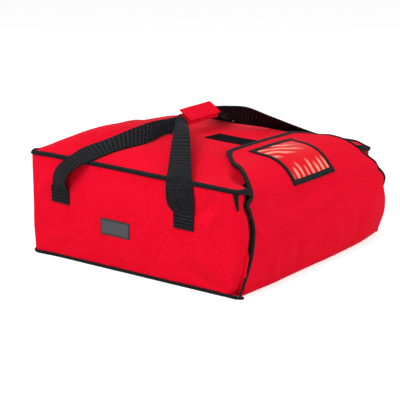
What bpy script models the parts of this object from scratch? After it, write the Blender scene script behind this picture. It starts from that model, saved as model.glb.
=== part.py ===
"""Insulated bag for carrying pizza boxes.

A soft box with a crowned top, built from padded panels of cloth, foam and lining.
The flap hangs on the base's front edge, closes the opening and folds over onto the
top. Two webbing straps cross over the top and pass through a padded wrap-round grip.

Metres, +Z up. The origin is the middle of the bag's footprint, on the ground.
The opening faces -Y and the label is on the -X side.
"""
from math import cos, pi, radians, sin

import bmesh
import bpy
from mathutils import Vector

# The bag's overall size at its corners
WIDTH = 0.495
DEPTH = 0.457
HEIGHT = 0.190

# Clearance between pieces that touch
GAP = 0.0003

# The padded wall: outer cloth, foam and lining
CLOTH = 0.0012
FOAM = 0.010
LINING = 0.0010

# How far the stuffed panels swell out of their corner planes
CROWN = 0.026
CROWN_Y = 0.045
CROWN_POWER = 2.4
SIDE_BULGE = 0.004
BACK_BULGE = 0.005

# The bound seams along the box's edges
BIND_PROUD = 0.0015
BIND_DEEP = 0.006
BIND_CHAMFER = 0.003
TAIL_LENGTH = 0.034
TAIL_WIDTH = 0.009
TAIL_TIP = 0.0015
TAIL_THICK = 0.002

# The opening: turned-in side edges, bound top edge, and the soft rim's shape
FACING = 0.0015
FACING_WIDTH = 0.020
MOUTH_BIND = 0.003
FRONT_ZONE = 0.100
TOP_SETBACK = 0.028
SIDE_BOW = 0.008
BASE_BOW = 0.016

# The flap: front part, big bend, then the tapered end that lies on the top
FLAP_FOAM = 0.006
CREASE_BELOW_TOP = 0.050
FOAM_BELOW_CREASE = 0.012
CREASE_RUN = 0.006
BEND_RADIUS = 0.066
BEND_ANGLE = radians(84.0)
HINGE_ANGLE = radians(45.0)
TOP_RUN = 0.0645
SEAT_BLEND = 0.030
PILLOW = 0.012
CORNER_BULGE = 0.006
FLAP_BIND = 0.0075
FLAP_LIP = 0.0006
FLAP_LINE_SPACING = 0.0015

# The flap's outline: how far up it from the crease, and how far in from the bag's side
FLAP_OUTLINE = (
    (-0.080, 0.0155),
    (-0.040, 0.0255),
    (-0.022, 0.0320),
    (0.0, 0.0310),
    (0.016, 0.0210),
    (0.023, 0.0210),
    (0.031, 0.0440),
    (0.058, 0.0585),
    (0.116, 0.1025),
)
FOOT_INSET = 0.0040
FREE_INSET = 0.1510

# Hook-and-loop strips
STRIP = 0.0012
STRIP_WIDTH = 0.050
LOOP_REACH = 0.2205
LOOP_LENGTH = 0.157
HOOK_LENGTH = 0.050

# The document pocket on the flap
POCKET_X = -0.0025
POCKET_WIDTH = 0.145
POCKET_ABOVE_CREASE = 0.021
POCKET_HEIGHT = 0.107
POCKET_BIND = 0.010
POCKET_BIND_THICK = 0.0014
POCKET_FILM = 0.0005
POCKET_LIFT = 0.0006

# The label on the left side
LABEL_Y = 0.030
LABEL_Z = 0.080
LABEL_WIDTH = 0.066
LABEL_HEIGHT = 0.030
LABEL_THICK = 0.0012

# Straps and their sewn ends
WEB_WIDTH = 0.047
WEB_THICK = 0.0024
PATCH_BELOW_TOP = 0.084
PATCH_HEIGHT = 0.029
PATCH_THICK = 0.003
PATCH_WIDTH = 0.042
FRONT_PATCH_INSET = 0.106
BACK_PATCH_INSET = 0.0705

STRAP_ARCH = 0.003
STRAP_RISES = (0.015, 0.038)
STRAP_DRIFTS = (0.2, 0.6)
STRAP_SLACKS = (1.0, 0.8)
STRAP_RUNS = (0.10, 0.40, 0.75)
STRAP_TURNS = (0.2, 0.5, 0.8)
STRAP_GATHERED = 0.92
STRAP_THICKER = 1.2
STRAP_FLATTER = 0.8
FRONT_DRIFT = 0.0135
BACK_DRIFT = -0.030
FRONT_SLACK = 0.009
BACK_SLACK = 0.003
HIGH_LIFT = 0.009
LOW_LIFT = 0.003

# The grip, tilted so that its outer face looks up and forwards
GRIP_X = 0.0135
GRIP_Y = 0.0336
GRIP_RISE = 0.0522
GRIP_TILT = radians(35.3)
GRIP_LENGTH = 0.100
GRIP_WALL = 0.0016
GRIP_CORNER = 0.0016
FOLDED_WIDTH = 0.024
FOLDED_THICK = 0.0042
GRIP_FLAP_THICK = 0.0018
GRIP_FLAP_OVERHANG = 0.004
GRIP_STRIP_WIDTH = 0.016
GRIP_STRIP_INSET = 0.003
STRAP_STUB = 0.004

# Mesh detail
TOP_COLUMNS = 12
TOP_ROWS = 11
SIDE_COLUMNS = 8
SIDE_ROWS = 4
FLAP_COLUMNS = 12
STRAP_STEPS = 5

# Worked out from the values above
WALL = CLOTH + FOAM + LINING + 2 * GAP
FLAP_WALL = CLOTH + FLAP_FOAM + LINING + 2 * GAP
FLAP_TOP_WALL = CLOTH + LINING + GAP
EDGE = BIND_DEEP + GAP
FRONT = -DEPTH / 2 + FLAP_WALL + FLAP_LIP + GAP
BACK = DEPTH / 2
SIDE_FRONT = FRONT + FACING + GAP
CREASE = HEIGHT - CREASE_BELOW_TOP
FLAP_FOAM_END = CREASE - FOAM_BELOW_CREASE
BEND_END = CREASE + BEND_RADIUS * BEND_ANGLE
FLAP_HINGE = CREASE + BEND_RADIUS * HINGE_ANGLE
FLAP_END = BEND_END + TOP_RUN
FLAP_REST = FLAP_TOP_WALL + 2 * STRIP + 3 * GAP
POCKET_LOW = CREASE + POCKET_ABOVE_CREASE
POCKET_HIGH = POCKET_LOW + POCKET_HEIGHT
PATCH_LOW = HEIGHT - PATCH_BELOW_TOP
PATCH_TOP = PATCH_LOW + PATCH_HEIGHT
FRONT_PATCH_Y = FRONT_PATCH_INSET - DEPTH / 2
BACK_PATCH_Y = DEPTH / 2 - BACK_PATCH_INSET
LOOP_BACK = LOOP_REACH - DEPTH / 2
GRIP_Z = HEIGHT + GRIP_RISE
SLEEVE_WIDTH = FOLDED_WIDTH + 2 * GRIP_WALL + 2 * GAP
SLEEVE_THICK = 2 * FOLDED_THICK + 2 * GRIP_WALL + 3 * GAP
FREE_HALF = WIDTH / 2 - FREE_INSET
FLAP_EDGE = ((0.0, WIDTH / 2 - FOOT_INSET),)
FLAP_EDGE += tuple((CREASE + rise, WIDTH / 2 - inset) for rise, inset in FLAP_OUTLINE)
FLAP_EDGE += ((FLAP_END, FREE_HALF),)

# Each strap's side, sewn end's y, drift towards the grip, slack off the side, lift over
# the edge, and its level inside the grip.
STRAPS = {
    "front_left": (-1, FRONT_PATCH_Y, FRONT_DRIFT, FRONT_SLACK, HIGH_LIFT, 1),
    "back_left": (-1, BACK_PATCH_Y, BACK_DRIFT, BACK_SLACK, LOW_LIFT, -1),
    "front_right": (1, FRONT_PATCH_Y, FRONT_DRIFT, FRONT_SLACK, LOW_LIFT, 1),
    "back_right": (1, BACK_PATCH_Y, BACK_DRIFT, BACK_SLACK, LOW_LIFT, -1),
}

# Colour, roughness and metallic value of each stuff
RED_CLOTH = ("red_cloth", (0.78, 0.006, 0.025), 0.75, 0.0)
BLACK_TAPE = ("black_tape", (0.016, 0.016, 0.018), 0.85, 0.0)
BLACK_WEBBING = ("black_webbing", (0.022, 0.022, 0.025), 0.80, 0.0)
GREY_LINING = ("grey_lining", (0.13, 0.13, 0.14), 0.55, 0.0)
WHITE_FOAM = ("white_foam", (0.75, 0.75, 0.72), 0.90, 0.0)
BLACK_STRIP = ("black_strip", (0.010, 0.010, 0.011), 0.95, 0.0)
CLEAR_FILM = ("clear_film", (0.85, 0.45, 0.42), 0.15, 0.0)
DARK_LABEL = ("dark_label", (0.045, 0.045, 0.050), 0.70, 0.0)


FLAP_FRONT_PIECES = (
    "flap_front_outer", "flap_front_foam", "flap_front_lining", "flap_front_binding_left",
    "flap_front_binding_right", "pocket_window_front", "pocket_frame_front",
)
FLAP_TOP_PIECES = (
    "flap_top_outer", "flap_top_lining", "flap_top_binding", "flap_hook_strip",
    "pocket_window_top", "pocket_frame_top",
)
GRIP_PIECES = ("grip_wrap", "grip_loop_strip", "strap_front_middle", "strap_back_middle")
GRIP_FLAP_PIECES = ("grip_flap", "grip_hook_strip")


def clear_scene():
    for item in list(bpy.data.objects):
        bpy.data.objects.remove(item, do_unlink=True)


def material(stuff):
    name, colour, roughness, metallic = stuff
    found = bpy.data.materials.get(name)
    if found:
        return found
    made = bpy.data.materials.new(name)
    made.use_nodes = True
    shader = made.node_tree.nodes["Principled BSDF"]
    shader.inputs["Base Color"].default_value = (*colour, 1.0)
    shader.inputs["Roughness"].default_value = roughness
    shader.inputs["Metallic"].default_value = metallic
    return made


def quad(mesh, a, b, c, d):
    mesh.faces.new((a, b, c))
    mesh.faces.new((a, c, d))


def finish(name, mesh, stuff):
    bmesh.ops.recalc_face_normals(mesh, faces=mesh.faces)
    data = bpy.data.meshes.new(name)
    mesh.to_mesh(data)
    mesh.free()
    data.materials.append(material(stuff))
    data.shade_smooth()
    data.set_sharp_from_angle(angle=radians(35.0))
    made = bpy.data.objects.new(name, data)
    bpy.context.scene.collection.objects.link(made)
    return made


def slab(name, outer, inner, stuff, closed=False):
    """One closed solid between two grids of points that have the same rows and columns."""
    mesh = bmesh.new()
    top = [[mesh.verts.new(point) for point in row] for row in outer]
    low = [[mesh.verts.new(point) for point in row] for row in inner]
    rows = len(top)
    for r in range(rows if closed else rows - 1):
        n = (r + 1) % rows
        for c in range(len(top[0]) - 1):
            quad(mesh, top[r][c], top[r][c + 1], top[n][c + 1], top[n][c])
            quad(mesh, low[r][c], low[n][c], low[n][c + 1], low[r][c + 1])
        quad(mesh, top[n][0], low[n][0], low[r][0], top[r][0])
        quad(mesh, top[r][-1], low[r][-1], low[n][-1], top[n][-1])
    if not closed:
        for c in range(len(top[0]) - 1):
            quad(mesh, top[0][c], low[0][c], low[0][c + 1], top[0][c + 1])
            quad(mesh, top[-1][c + 1], low[-1][c + 1], low[-1][c], top[-1][c])
    return finish(name, mesh, stuff)


def bar(name, sections, stuff):
    """One closed solid through a list of rings of points, capped at both ends."""
    mesh = bmesh.new()
    rings = [[mesh.verts.new(point) for point in ring] for ring in sections]
    for ring, following in zip(rings, rings[1:]):
        for k in range(len(ring)):
            j = (k + 1) % len(ring)
            quad(mesh, ring[k], ring[j], following[j], following[k])
    mesh.faces.new(reversed(rings[0]))
    mesh.faces.new(rings[-1])
    return finish(name, mesh, stuff)


def sleeve(name, outer, inner, stuff):
    """A tube with open ends: outer and inner rings at its two ends."""
    mesh = bmesh.new()
    out = [[mesh.verts.new(point) for point in ring] for ring in outer]
    ins = [[mesh.verts.new(point) for point in ring] for ring in inner]
    for k in range(len(out[0])):
        j = (k + 1) % len(out[0])
        quad(mesh, out[0][k], out[0][j], out[1][j], out[1][k])
        quad(mesh, ins[0][j], ins[0][k], ins[1][k], ins[1][j])
        quad(mesh, out[0][j], out[0][k], ins[0][k], ins[0][j])
        quad(mesh, out[1][k], out[1][j], ins[1][j], ins[1][k])
    return finish(name, mesh, stuff)


def clamp(value):
    return min(1.0, max(0.0, value))


def smooth(value):
    t = clamp(value)
    return t * t * (3 - 2 * t)


def hump(value, power):
    return max(0.0, 1 - abs(value) ** power)


def spread(low, high, count, low_in=0.0, high_in=0.0):
    """Even lines from low to high, with the two end lines moved in."""
    inside = [low + (high - low) * k / count for k in range(1, count)]
    return [low + low_in] + inside + [high - high_in]


def bound(depth):
    """How far a layer's edge stays back from a bound seam."""
    return max(EDGE, depth + GAP)


def mitred(depth):
    """How far a layer's edge stays back from an unbound corner."""
    return depth + GAP


def front_share(y):
    """0 in the body of the bag, rising to 1 at the opening's rim."""
    return clamp((-FRONT_ZONE - y) / (-FRONT_ZONE - FRONT)) ** 2


def top_crown(x, y):
    across = hump(x / (WIDTH / 2 - EDGE), CROWN_POWER)
    if y > CROWN_Y:
        along = hump((y - CROWN_Y) / (BACK - EDGE - CROWN_Y), CROWN_POWER)
    else:
        along = hump((CROWN_Y - y) / (CROWN_Y - FRONT), CROWN_POWER)
    return CROWN * across * along


def top_setback(x, y):
    return TOP_SETBACK * (1 - (2 * x / WIDTH) ** 4) * front_share(y)


def top_at(x, y, depth):
    return Vector((x, y + top_setback(x, y), HEIGHT + top_crown(x, y) - depth))


def top_height(x, y):
    """The top's outer height above a point, where the rim's setback is undone first."""
    flat_y = y
    for _ in range(6):
        flat_y = y - top_setback(x, flat_y)
    return HEIGHT + top_crown(x, flat_y)


def side_at(side, y, z, depth):
    middle = (FRONT + BACK) / 2
    along = hump((y - middle) / (BACK - middle), 4)
    upward = hump((2 * z - HEIGHT) / (HEIGHT - 2 * EDGE), 2)
    bow = SIDE_BOW * sin(pi * z / HEIGHT) * front_share(y)
    return Vector((side * (WIDTH / 2 + SIDE_BULGE * along * upward - depth), y - bow, z))


def back_at(x, z, depth):
    across = hump(2 * x / WIDTH, 4)
    upward = hump((2 * z - HEIGHT) / (HEIGHT - 2 * EDGE), 2)
    return Vector((x, BACK + BACK_BULGE * across * upward - depth, z))


def base_at(x, y, depth):
    bow = BASE_BOW * (1 - (2 * x / WIDTH) ** 2) * front_share(y)
    return Vector((x, y - bow, depth))


def layers():
    """Name, outer depth, inner depth and stuff of each layer of the wall."""
    foam = CLOTH + GAP
    lining = foam + FOAM + GAP
    return (
        ("outer", 0.0, CLOTH, RED_CLOTH),
        ("foam", foam, foam + FOAM, WHITE_FOAM),
        ("lining", lining, lining + LINING, GREY_LINING),
    )


def grid(at, across, along, depth):
    return [[at(a, b, depth) for a in across] for b in along]


def make_top():
    start = FRONT + MOUTH_BIND + 2 * GAP
    for layer, shallow, deep, stuff in layers():
        faces = []
        for depth in (shallow, deep):
            edge = bound(depth)
            across = spread(-WIDTH / 2, WIDTH / 2, TOP_COLUMNS, edge, edge)
            along = spread(start, BACK, TOP_ROWS, 0.0, edge)
            faces.append(grid(top_at, across, along, depth))
        slab("top_" + layer, faces[0], faces[1], stuff)


def make_side(name, side):
    def at(y, z, depth):
        return side_at(side, y, z, depth)

    for layer, shallow, deep, stuff in layers():
        faces = []
        for depth in (shallow, deep):
            across = spread(SIDE_FRONT, BACK, SIDE_COLUMNS, 0.0, mitred(depth))
            along = spread(0.0, HEIGHT, SIDE_ROWS, bound(depth), bound(depth))
            faces.append(grid(at, across, along, depth))
        slab(name + "_" + layer, faces[0], faces[1], stuff)


def make_back():
    for layer, shallow, deep, stuff in layers():
        faces = []
        for depth in (shallow, deep):
            across = spread(-WIDTH / 2, WIDTH / 2, SIDE_COLUMNS, mitred(depth), mitred(depth))
            along = spread(0.0, HEIGHT, SIDE_ROWS, bound(depth), bound(depth))
            faces.append(grid(back_at, across, along, depth))
        slab("back_" + layer, faces[0], faces[1], stuff)


def make_base():
    for layer, shallow, deep, stuff in layers():
        faces = []
        for depth in (shallow, deep):
            across = spread(-WIDTH / 2, WIDTH / 2, SIDE_COLUMNS, bound(depth), bound(depth))
            along = spread(FRONT, BACK, SIDE_COLUMNS, 0.0, bound(depth))
            faces.append(grid(base_at, across, along, depth))
        slab("base_" + layer, faces[0], faces[1], stuff)


def seam_ring(out, up, low):
    """A bound seam's section: offsets outwards and upwards from the box's edge."""
    return (
        (out, low),
        (out, up - BIND_CHAMFER),
        (out - BIND_CHAMFER, up),
        (-BIND_DEEP, up),
        (-BIND_DEEP, low),
    )


def make_seams():
    upper = seam_ring(BIND_PROUD, HEIGHT + BIND_PROUD, HEIGHT - BIND_DEEP)
    lower = seam_ring(BIND_PROUD, BIND_DEEP, 0.0)
    for place, ring in (("top", upper), ("bottom", lower)):
        for name, side in (("left", -1), ("right", 1)):
            front = [Vector((side * (WIDTH / 2 + out), FRONT, up)) for out, up in ring]
            rear = [Vector((side * (WIDTH / 2 + out), BACK + out - GAP, up)) for out, up in ring]
            bar("seam_" + place + "_" + name, [front, rear], BLACK_TAPE)
        ends = []
        for side in (-1, 1):
            ends.append([Vector((side * (WIDTH / 2 + out - GAP), BACK + out, up)) for out, up in ring])
        bar("seam_" + place + "_back", ends, BLACK_TAPE)


def make_mouth():
    """The bound front edge of the top and the turned-in front edges of the sides."""
    across = spread(-WIDTH / 2, WIDTH / 2, TOP_COLUMNS, WALL + GAP, WALL + GAP)
    rows = (FRONT, FRONT + MOUTH_BIND)
    outer = grid(top_at, across, rows, -BIND_PROUD)
    inner = grid(top_at, across, rows, WALL)
    slab("mouth_binding", outer, inner, BLACK_TAPE)
    upward = spread(WALL + GAP, HEIGHT - WALL - GAP, SIDE_ROWS)
    for name, side in (("left", -1), ("right", 1)):
        outer = [[side_at(side, y, z, 0.0) for y in (FRONT, FRONT + FACING)] for z in upward]
        inner = [[side_at(side, y, z, FACING_WIDTH) for y in (FRONT, FRONT + FACING)] for z in upward]
        slab("mouth_facing_" + name, outer, inner, RED_CLOTH)


def on_side(name, side, y_low, y_high, z_low, z_high, thick, stuff):
    """A flat sewn piece on the outside of a side panel."""
    columns = spread(y_low, y_high, 2)
    rows = spread(z_low, z_high, 2)
    outer = [[side_at(side, y, z, -GAP - thick) for y in columns] for z in rows]
    inner = [[side_at(side, y, z, -GAP) for y in columns] for z in rows]
    return slab(name, outer, inner, stuff)


def make_side_trim():
    on_side("label_patch", -1, LABEL_Y - LABEL_WIDTH / 2, LABEL_Y + LABEL_WIDTH / 2,
            LABEL_Z - LABEL_HEIGHT / 2, LABEL_Z + LABEL_HEIGHT / 2, LABEL_THICK, DARK_LABEL)
    for name in STRAPS:
        side, y = STRAPS[name][:2]
        on_side("strap_patch_" + name, side, y - PATCH_WIDTH / 2, y + PATCH_WIDTH / 2,
                PATCH_LOW, PATCH_TOP, PATCH_THICK, BLACK_WEBBING)
    for name, side in (("left", -1), ("right", 1)):
        high = HEIGHT - EDGE
        outer = []
        inner = []
        for z, width in ((high, TAIL_WIDTH), (high - TAIL_LENGTH, TAIL_TIP)):
            columns = (SIDE_FRONT, SIDE_FRONT + width)
            outer.append([side_at(side, y, z, -GAP - TAIL_THICK) for y in columns])
            inner.append([side_at(side, y, z, -GAP) for y in columns])
        slab("seam_tail_" + name, outer, inner, BLACK_TAPE)


def make_loop_strip():
    columns = spread(-STRIP_WIDTH / 2, STRIP_WIDTH / 2, 2)
    rows = spread(LOOP_BACK - LOOP_LENGTH, LOOP_BACK, 5)
    outer = grid(top_at, columns, rows, -GAP - STRIP)
    inner = grid(top_at, columns, rows, -GAP)
    slab("loop_strip", outer, inner, BLACK_STRIP)


def flap_profile(s):
    """Height, depth and outward direction along the flap's middle line."""
    angle = min(max(0.0, s - CREASE) / BEND_RADIUS, BEND_ANGLE)
    run = max(0.0, s - BEND_END)
    y = -DEPTH / 2 + BEND_RADIUS * (1 - cos(angle)) + run * sin(BEND_ANGLE)
    z = min(s, CREASE) + BEND_RADIUS * sin(angle) + run * cos(BEND_ANGLE)
    return y, z, -cos(angle), sin(angle)


def flap_bulge(x, s):
    side = abs(2 * x / WIDTH)
    if s <= CREASE:
        low = BASE_BOW * (1 - side ** 2) * (1 - s / CREASE)
        pillow = PILLOW * max(0.0, sin(pi * s / CREASE)) ** 0.8 * (1 - 0.6 * side ** 4)
        return low + pillow + SIDE_BOW * sin(pi * s / HEIGHT)
    t = clamp((s - CREASE) / (BEND_END - CREASE))
    carried = SIDE_BOW * sin(pi * CREASE / HEIGHT) * (1 - smooth(t))
    return carried + CORNER_BULGE * side ** 6 * sin(pi * t)


def flap_at(x, s, depth):
    y, z, out_y, out_z = flap_profile(s)
    out = flap_bulge(x, s) - depth
    seat = smooth((s - BEND_END) / SEAT_BLEND) * (top_height(x, y) + FLAP_REST - z)
    return Vector((x, y + out_y * out, z + out_z * out + seat))


def flap_half(s):
    """Half the flap's width, from its outline's points."""
    for (s0, half0), (s1, half1) in zip(FLAP_EDGE, FLAP_EDGE[1:]):
        if s <= s1:
            return half0 + (half1 - half0) * (s - s0) / (s1 - s0)
    return FLAP_EDGE[-1][1]


def flap_lining_depth(s):
    """The lining lies under the foam, then straight under the cloth past the crease."""
    fade = 1 - clamp((s - FLAP_FOAM_END) / (CREASE + CREASE_RUN - FLAP_FOAM_END))
    return CLOTH + GAP + (FLAP_FOAM + GAP) * fade


def flap_lines(low, high):
    """The lines across the flap between two places, shared by every piece on it."""
    lines = [k * CREASE / 6 for k in range(7)]
    lines += [CREASE + (BEND_END - CREASE) * k / 8 for k in range(1, 9)]
    lines += [BEND_END + TOP_RUN * k / 3 for k in range(1, 4)]
    lines += [s for s, half in FLAP_EDGE]
    lines += [FLAP_FOAM_END, CREASE + CREASE_RUN, POCKET_LOW, POCKET_HIGH]
    near = FLAP_LINE_SPACING
    inside = sorted(s for s in lines if low + near < s < high - near)
    spaced = []
    for s in inside:
        if not spaced or s - spaced[-1] > near:
            spaced.append(s)
    return [low] + spaced + [high]


def flap_sheet(name, low, high, shallow, deep, stuff):
    outer = []
    inner = []
    for s in flap_lines(low, high):
        half = flap_half(s) - FLAP_BIND - 2 * GAP
        columns = spread(-half, half, FLAP_COLUMNS)
        outer.append([flap_at(x, s, shallow(s)) for x in columns])
        inner.append([flap_at(x, s, deep(s)) for x in columns])
    slab(name, outer, inner, stuff)


def flap_strip(name, pairs, shallow, deep, stuff, closed=False):
    """A narrow piece on the flap, between pairs of (x, s) points."""
    outer = [[flap_at(x, s, shallow(s)) for x, s in pair] for pair in pairs]
    inner = [[flap_at(x, s, deep(s)) for x, s in pair] for pair in pairs]
    slab(name, outer, inner, stuff, closed)


def make_flap_front():
    end = FLAP_HINGE - GAP / 2
    flap_sheet("flap_front_outer", 0.0, end, lambda s: 0.0, lambda s: CLOTH, RED_CLOTH)
    flap_sheet("flap_front_foam", 0.0, FLAP_FOAM_END - GAP, lambda s: CLOTH + GAP,
               lambda s: CLOTH + GAP + FLAP_FOAM, WHITE_FOAM)
    flap_sheet("flap_front_lining", 0.0, end, flap_lining_depth,
               lambda s: flap_lining_depth(s) + LINING, GREY_LINING)
    for name, side in (("left", -1), ("right", 1)):
        pairs = []
        for s in flap_lines(0.0, end):
            half = flap_half(s)
            pairs.append(((side * (half - FLAP_BIND), s), (side * half, s)))
        flap_strip("flap_front_binding_" + name, pairs, lambda s: -FLAP_LIP,
                   lambda s: flap_lining_depth(s) + LINING + FLAP_LIP, BLACK_TAPE)


def make_flap_top():
    start = FLAP_HINGE + GAP / 2
    cloth_end = FLAP_END - FLAP_BIND - GAP
    flap_sheet("flap_top_outer", start, cloth_end, lambda s: 0.0, lambda s: CLOTH, RED_CLOTH)
    flap_sheet("flap_top_lining", start, cloth_end, lambda s: CLOTH + GAP,
               lambda s: FLAP_TOP_WALL, GREY_LINING)
    inner_end = FLAP_END - FLAP_BIND
    lines = flap_lines(start, inner_end)
    left = [((FLAP_BIND - flap_half(s), s), (-flap_half(s), s)) for s in lines[:-1]]
    right = [((flap_half(s) - FLAP_BIND, s), (flap_half(s), s)) for s in lines[-2::-1]]
    corner = flap_half(inner_end) - FLAP_BIND
    edge = []
    for x in spread(-corner, corner, 4):
        edge.append(((x, inner_end), (x / corner * FREE_HALF, FLAP_END)))
    flap_strip("flap_top_binding", left + edge + right,
               lambda s: -FLAP_LIP, lambda s: FLAP_TOP_WALL + FLAP_LIP / 2, BLACK_TAPE)
    high = cloth_end
    columns = spread(-STRIP_WIDTH / 2, STRIP_WIDTH / 2, 2)
    rows = flap_lines(high - HOOK_LENGTH, high)
    outer = [[flap_at(x, s, FLAP_TOP_WALL + GAP) for x in columns] for s in rows]
    inner = [[flap_at(x, s, FLAP_TOP_WALL + GAP + STRIP) for x in columns] for s in rows]
    slab("flap_hook_strip", outer, inner, BLACK_STRIP)


def halfway(first, second):
    """The pair of (x, s) points midway between two pairs."""
    return tuple(((x0 + x1) / 2, (s0 + s1) / 2) for (x0, s0), (x1, s1) in zip(first, second))


def make_pocket():
    """The clear document pocket: a film in a bound frame, parted where the flap bends."""
    low_x = POCKET_X - POCKET_WIDTH / 2
    high_x = POCKET_X + POCKET_WIDTH / 2
    film_out = -POCKET_LIFT - POCKET_FILM
    frame_out = -POCKET_LIFT - POCKET_BIND_THICK
    for name, low, high, bottom, top in (
        ("front", POCKET_LOW, FLAP_HINGE - GAP / 2, True, False),
        ("top", FLAP_HINGE + GAP / 2, POCKET_HIGH, False, True),
    ):
        film_low = low + POCKET_BIND + GAP if bottom else low
        film_high = high - POCKET_BIND - GAP if top else high
        columns = spread(low_x + POCKET_BIND + GAP, high_x - POCKET_BIND - GAP, 4)
        rows = flap_lines(film_low, film_high)
        outer = [[flap_at(x, s, film_out) for x in columns] for s in rows]
        inner = [[flap_at(x, s, -POCKET_LIFT) for x in columns] for s in rows]
        slab("pocket_window_" + name, outer, inner, CLEAR_FILM)

        side_low = low + POCKET_BIND if bottom else low
        side_high = high - POCKET_BIND if top else high
        lines = flap_lines(side_low, side_high)
        if top:
            lines = lines[::-1]
        left = [((low_x + POCKET_BIND, s), (low_x, s)) for s in lines]
        right = [((high_x - POCKET_BIND, s), (high_x, s)) for s in lines]
        bar_in = side_low if bottom else side_high
        bar_out = low if bottom else high
        for edge, x in ((left, low_x), (right, high_x)):
            edge[0] = (edge[0][0], (x, bar_out))
            edge.insert(1, halfway(edge[0], edge[1]))
        left.insert(0, ((POCKET_X, bar_in), (POCKET_X, bar_out)))
        flap_strip("pocket_frame_" + name, left[:0:-1] + [left[0]] + right,
                   lambda s: frame_out, lambda s: -POCKET_LIFT, BLACK_TAPE)


def grip_point(x, along, out):
    """A point in the grip's tilted frame: along its face, rising backwards, and out of it."""
    y = GRIP_Y + along * cos(GRIP_TILT) - out * sin(GRIP_TILT)
    z = GRIP_Z + along * sin(GRIP_TILT) + out * cos(GRIP_TILT)
    return Vector((GRIP_X + x, y, z))


def rounded_ring(x, width, thick, corner):
    w = width / 2
    t = thick / 2
    points = ((w, corner - t), (w, t - corner), (w - corner, t), (corner - w, t),
              (-w, t - corner), (-w, corner - t), (corner - w, -t), (w - corner, -t))
    return [grip_point(x, along, out) for along, out in points]


def grip_plate(name, length, low, high, below, above, stuff):
    """A flat piece on the grip's face."""
    rings = []
    for x in (-length / 2, length / 2):
        rings.append([grip_point(x, along, out)
                      for along, out in ((low, below), (high, below), (high, above), (low, above))])
    return bar(name, rings, stuff)


def make_grip():
    half = GRIP_LENGTH / 2
    hole_width = SLEEVE_WIDTH - 2 * GRIP_WALL
    hole_thick = SLEEVE_THICK - 2 * GRIP_WALL
    outer = [rounded_ring(x, SLEEVE_WIDTH, SLEEVE_THICK, GRIP_CORNER) for x in (-half, half)]
    inner = [rounded_ring(x, hole_width, hole_thick, GAP) for x in (-half, half)]
    sleeve("grip_wrap", outer, inner, RED_CLOTH)

    length = GRIP_LENGTH - 2 * GRIP_STRIP_INSET
    base = SLEEVE_THICK / 2 + GAP
    grip_plate("grip_loop_strip", length, -GRIP_STRIP_WIDTH / 2, GRIP_STRIP_WIDTH / 2,
               base, base + STRIP, BLACK_STRIP)
    base += STRIP + GAP
    grip_plate("grip_hook_strip", length, -GRIP_STRIP_WIDTH / 2, GRIP_STRIP_WIDTH / 2,
               base, base + STRIP, BLACK_STRIP)
    base += STRIP + GAP
    grip_plate("grip_flap", GRIP_LENGTH, -SLEEVE_WIDTH / 2, SLEEVE_WIDTH / 2 + GRIP_FLAP_OVERHANG,
               base, base + GRIP_FLAP_THICK, RED_CLOTH)

    for name, level in (("front", 1), ("back", -1)):
        middle = level * (FOLDED_THICK + GAP) / 2
        grip_plate("strap_" + name + "_middle", GRIP_LENGTH + 2 * STRAP_STUB,
                   -FOLDED_WIDTH / 2, FOLDED_WIDTH / 2,
                   middle - FOLDED_THICK / 2, middle + FOLDED_THICK / 2, BLACK_WEBBING)


def smooth_path(points, steps):
    """A smooth line through sparse points, as (place, half width, half thickness) tuples."""
    line = [points[0]] + list(points) + [points[-1]]
    made = []
    for a, b, c, d in zip(line, line[1:], line[2:], line[3:]):
        for k in range(steps):
            t = k / steps
            mixed = []
            for p0, p1, p2, p3 in zip(a, b, c, d):
                mixed.append(0.5 * (2 * p1 + (p2 - p0) * t + (2 * p0 - 5 * p1 + 4 * p2 - p3) * t * t
                                    + (3 * p1 - p0 - 3 * p2 + p3) * t ** 3))
            made.append(tuple(mixed))
    made.append(tuple(points[-1]))
    return made


def strap_points(name):
    """A strap's run from its sewn end up over the edge to the grip.

    Each point gives the middle, the direction of the width, the width and the thickness.
    """
    side, start_y, drift, slack, lift, level = STRAPS[name]
    nearest = start_y + level * PATCH_WIDTH / 2
    wall = abs(side_at(side, nearest, PATCH_TOP, -2 * GAP - WEB_THICK / 2).x)
    edge = WIDTH / 2 + BIND_PROUD + GAP + WEB_THICK
    grip_end = side * (GRIP_LENGTH / 2 + STRAP_STUB + GAP)
    end = grip_point(grip_end, 0.0, level * (FOLDED_THICK + GAP) / 2)
    over = Vector((side * edge, start_y + drift, HEIGHT + lift))
    upright = Vector((0.0, -1.0, 0.0))
    across = Vector((0.0, PATCH_TOP - over.z, drift)).normalized()
    turned = ((end - over).cross(Vector((0.0, 0.0, 1.0))) * -side).normalized()
    folded = Vector((0.0, -cos(GRIP_TILT), -sin(GRIP_TILT)))
    full = WEB_WIDTH / 2
    thin = WEB_THICK / 2
    narrow = FOLDED_WIDTH / 2
    doubled = FOLDED_THICK / 2
    low = PATCH_TOP + GAP
    off_edge = Vector((0.0, 0.0, lift / 2))
    arch = Vector((0.0, 0.0, STRAP_ARCH))
    hanging = []
    for rise, drifted, slackened in zip(STRAP_RISES, STRAP_DRIFTS, STRAP_SLACKS):
        hanging.append(Vector((side * (wall + slack * slackened), start_y + drift * drifted, low + rise)))
    near, middle, far = [over.lerp(end, run) for run in STRAP_RUNS]
    near_way, middle_way, far_way = [turned.lerp(folded, turn) for turn in STRAP_TURNS]
    return [
        (Vector((side * wall, start_y, low)), upright, PATCH_WIDTH / 2, thin),
        (hanging[0], upright, full, thin),
        (hanging[1], across, full, thin),
        (over, across + turned, full, thin),
        (near + off_edge, near_way, full, thin),
        (middle + arch, middle_way, full * STRAP_GATHERED, thin * STRAP_THICKER),
        (far, far_way, (full + narrow) / 2, doubled * STRAP_FLATTER),
        (end, folded, narrow, doubled),
    ]


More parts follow.
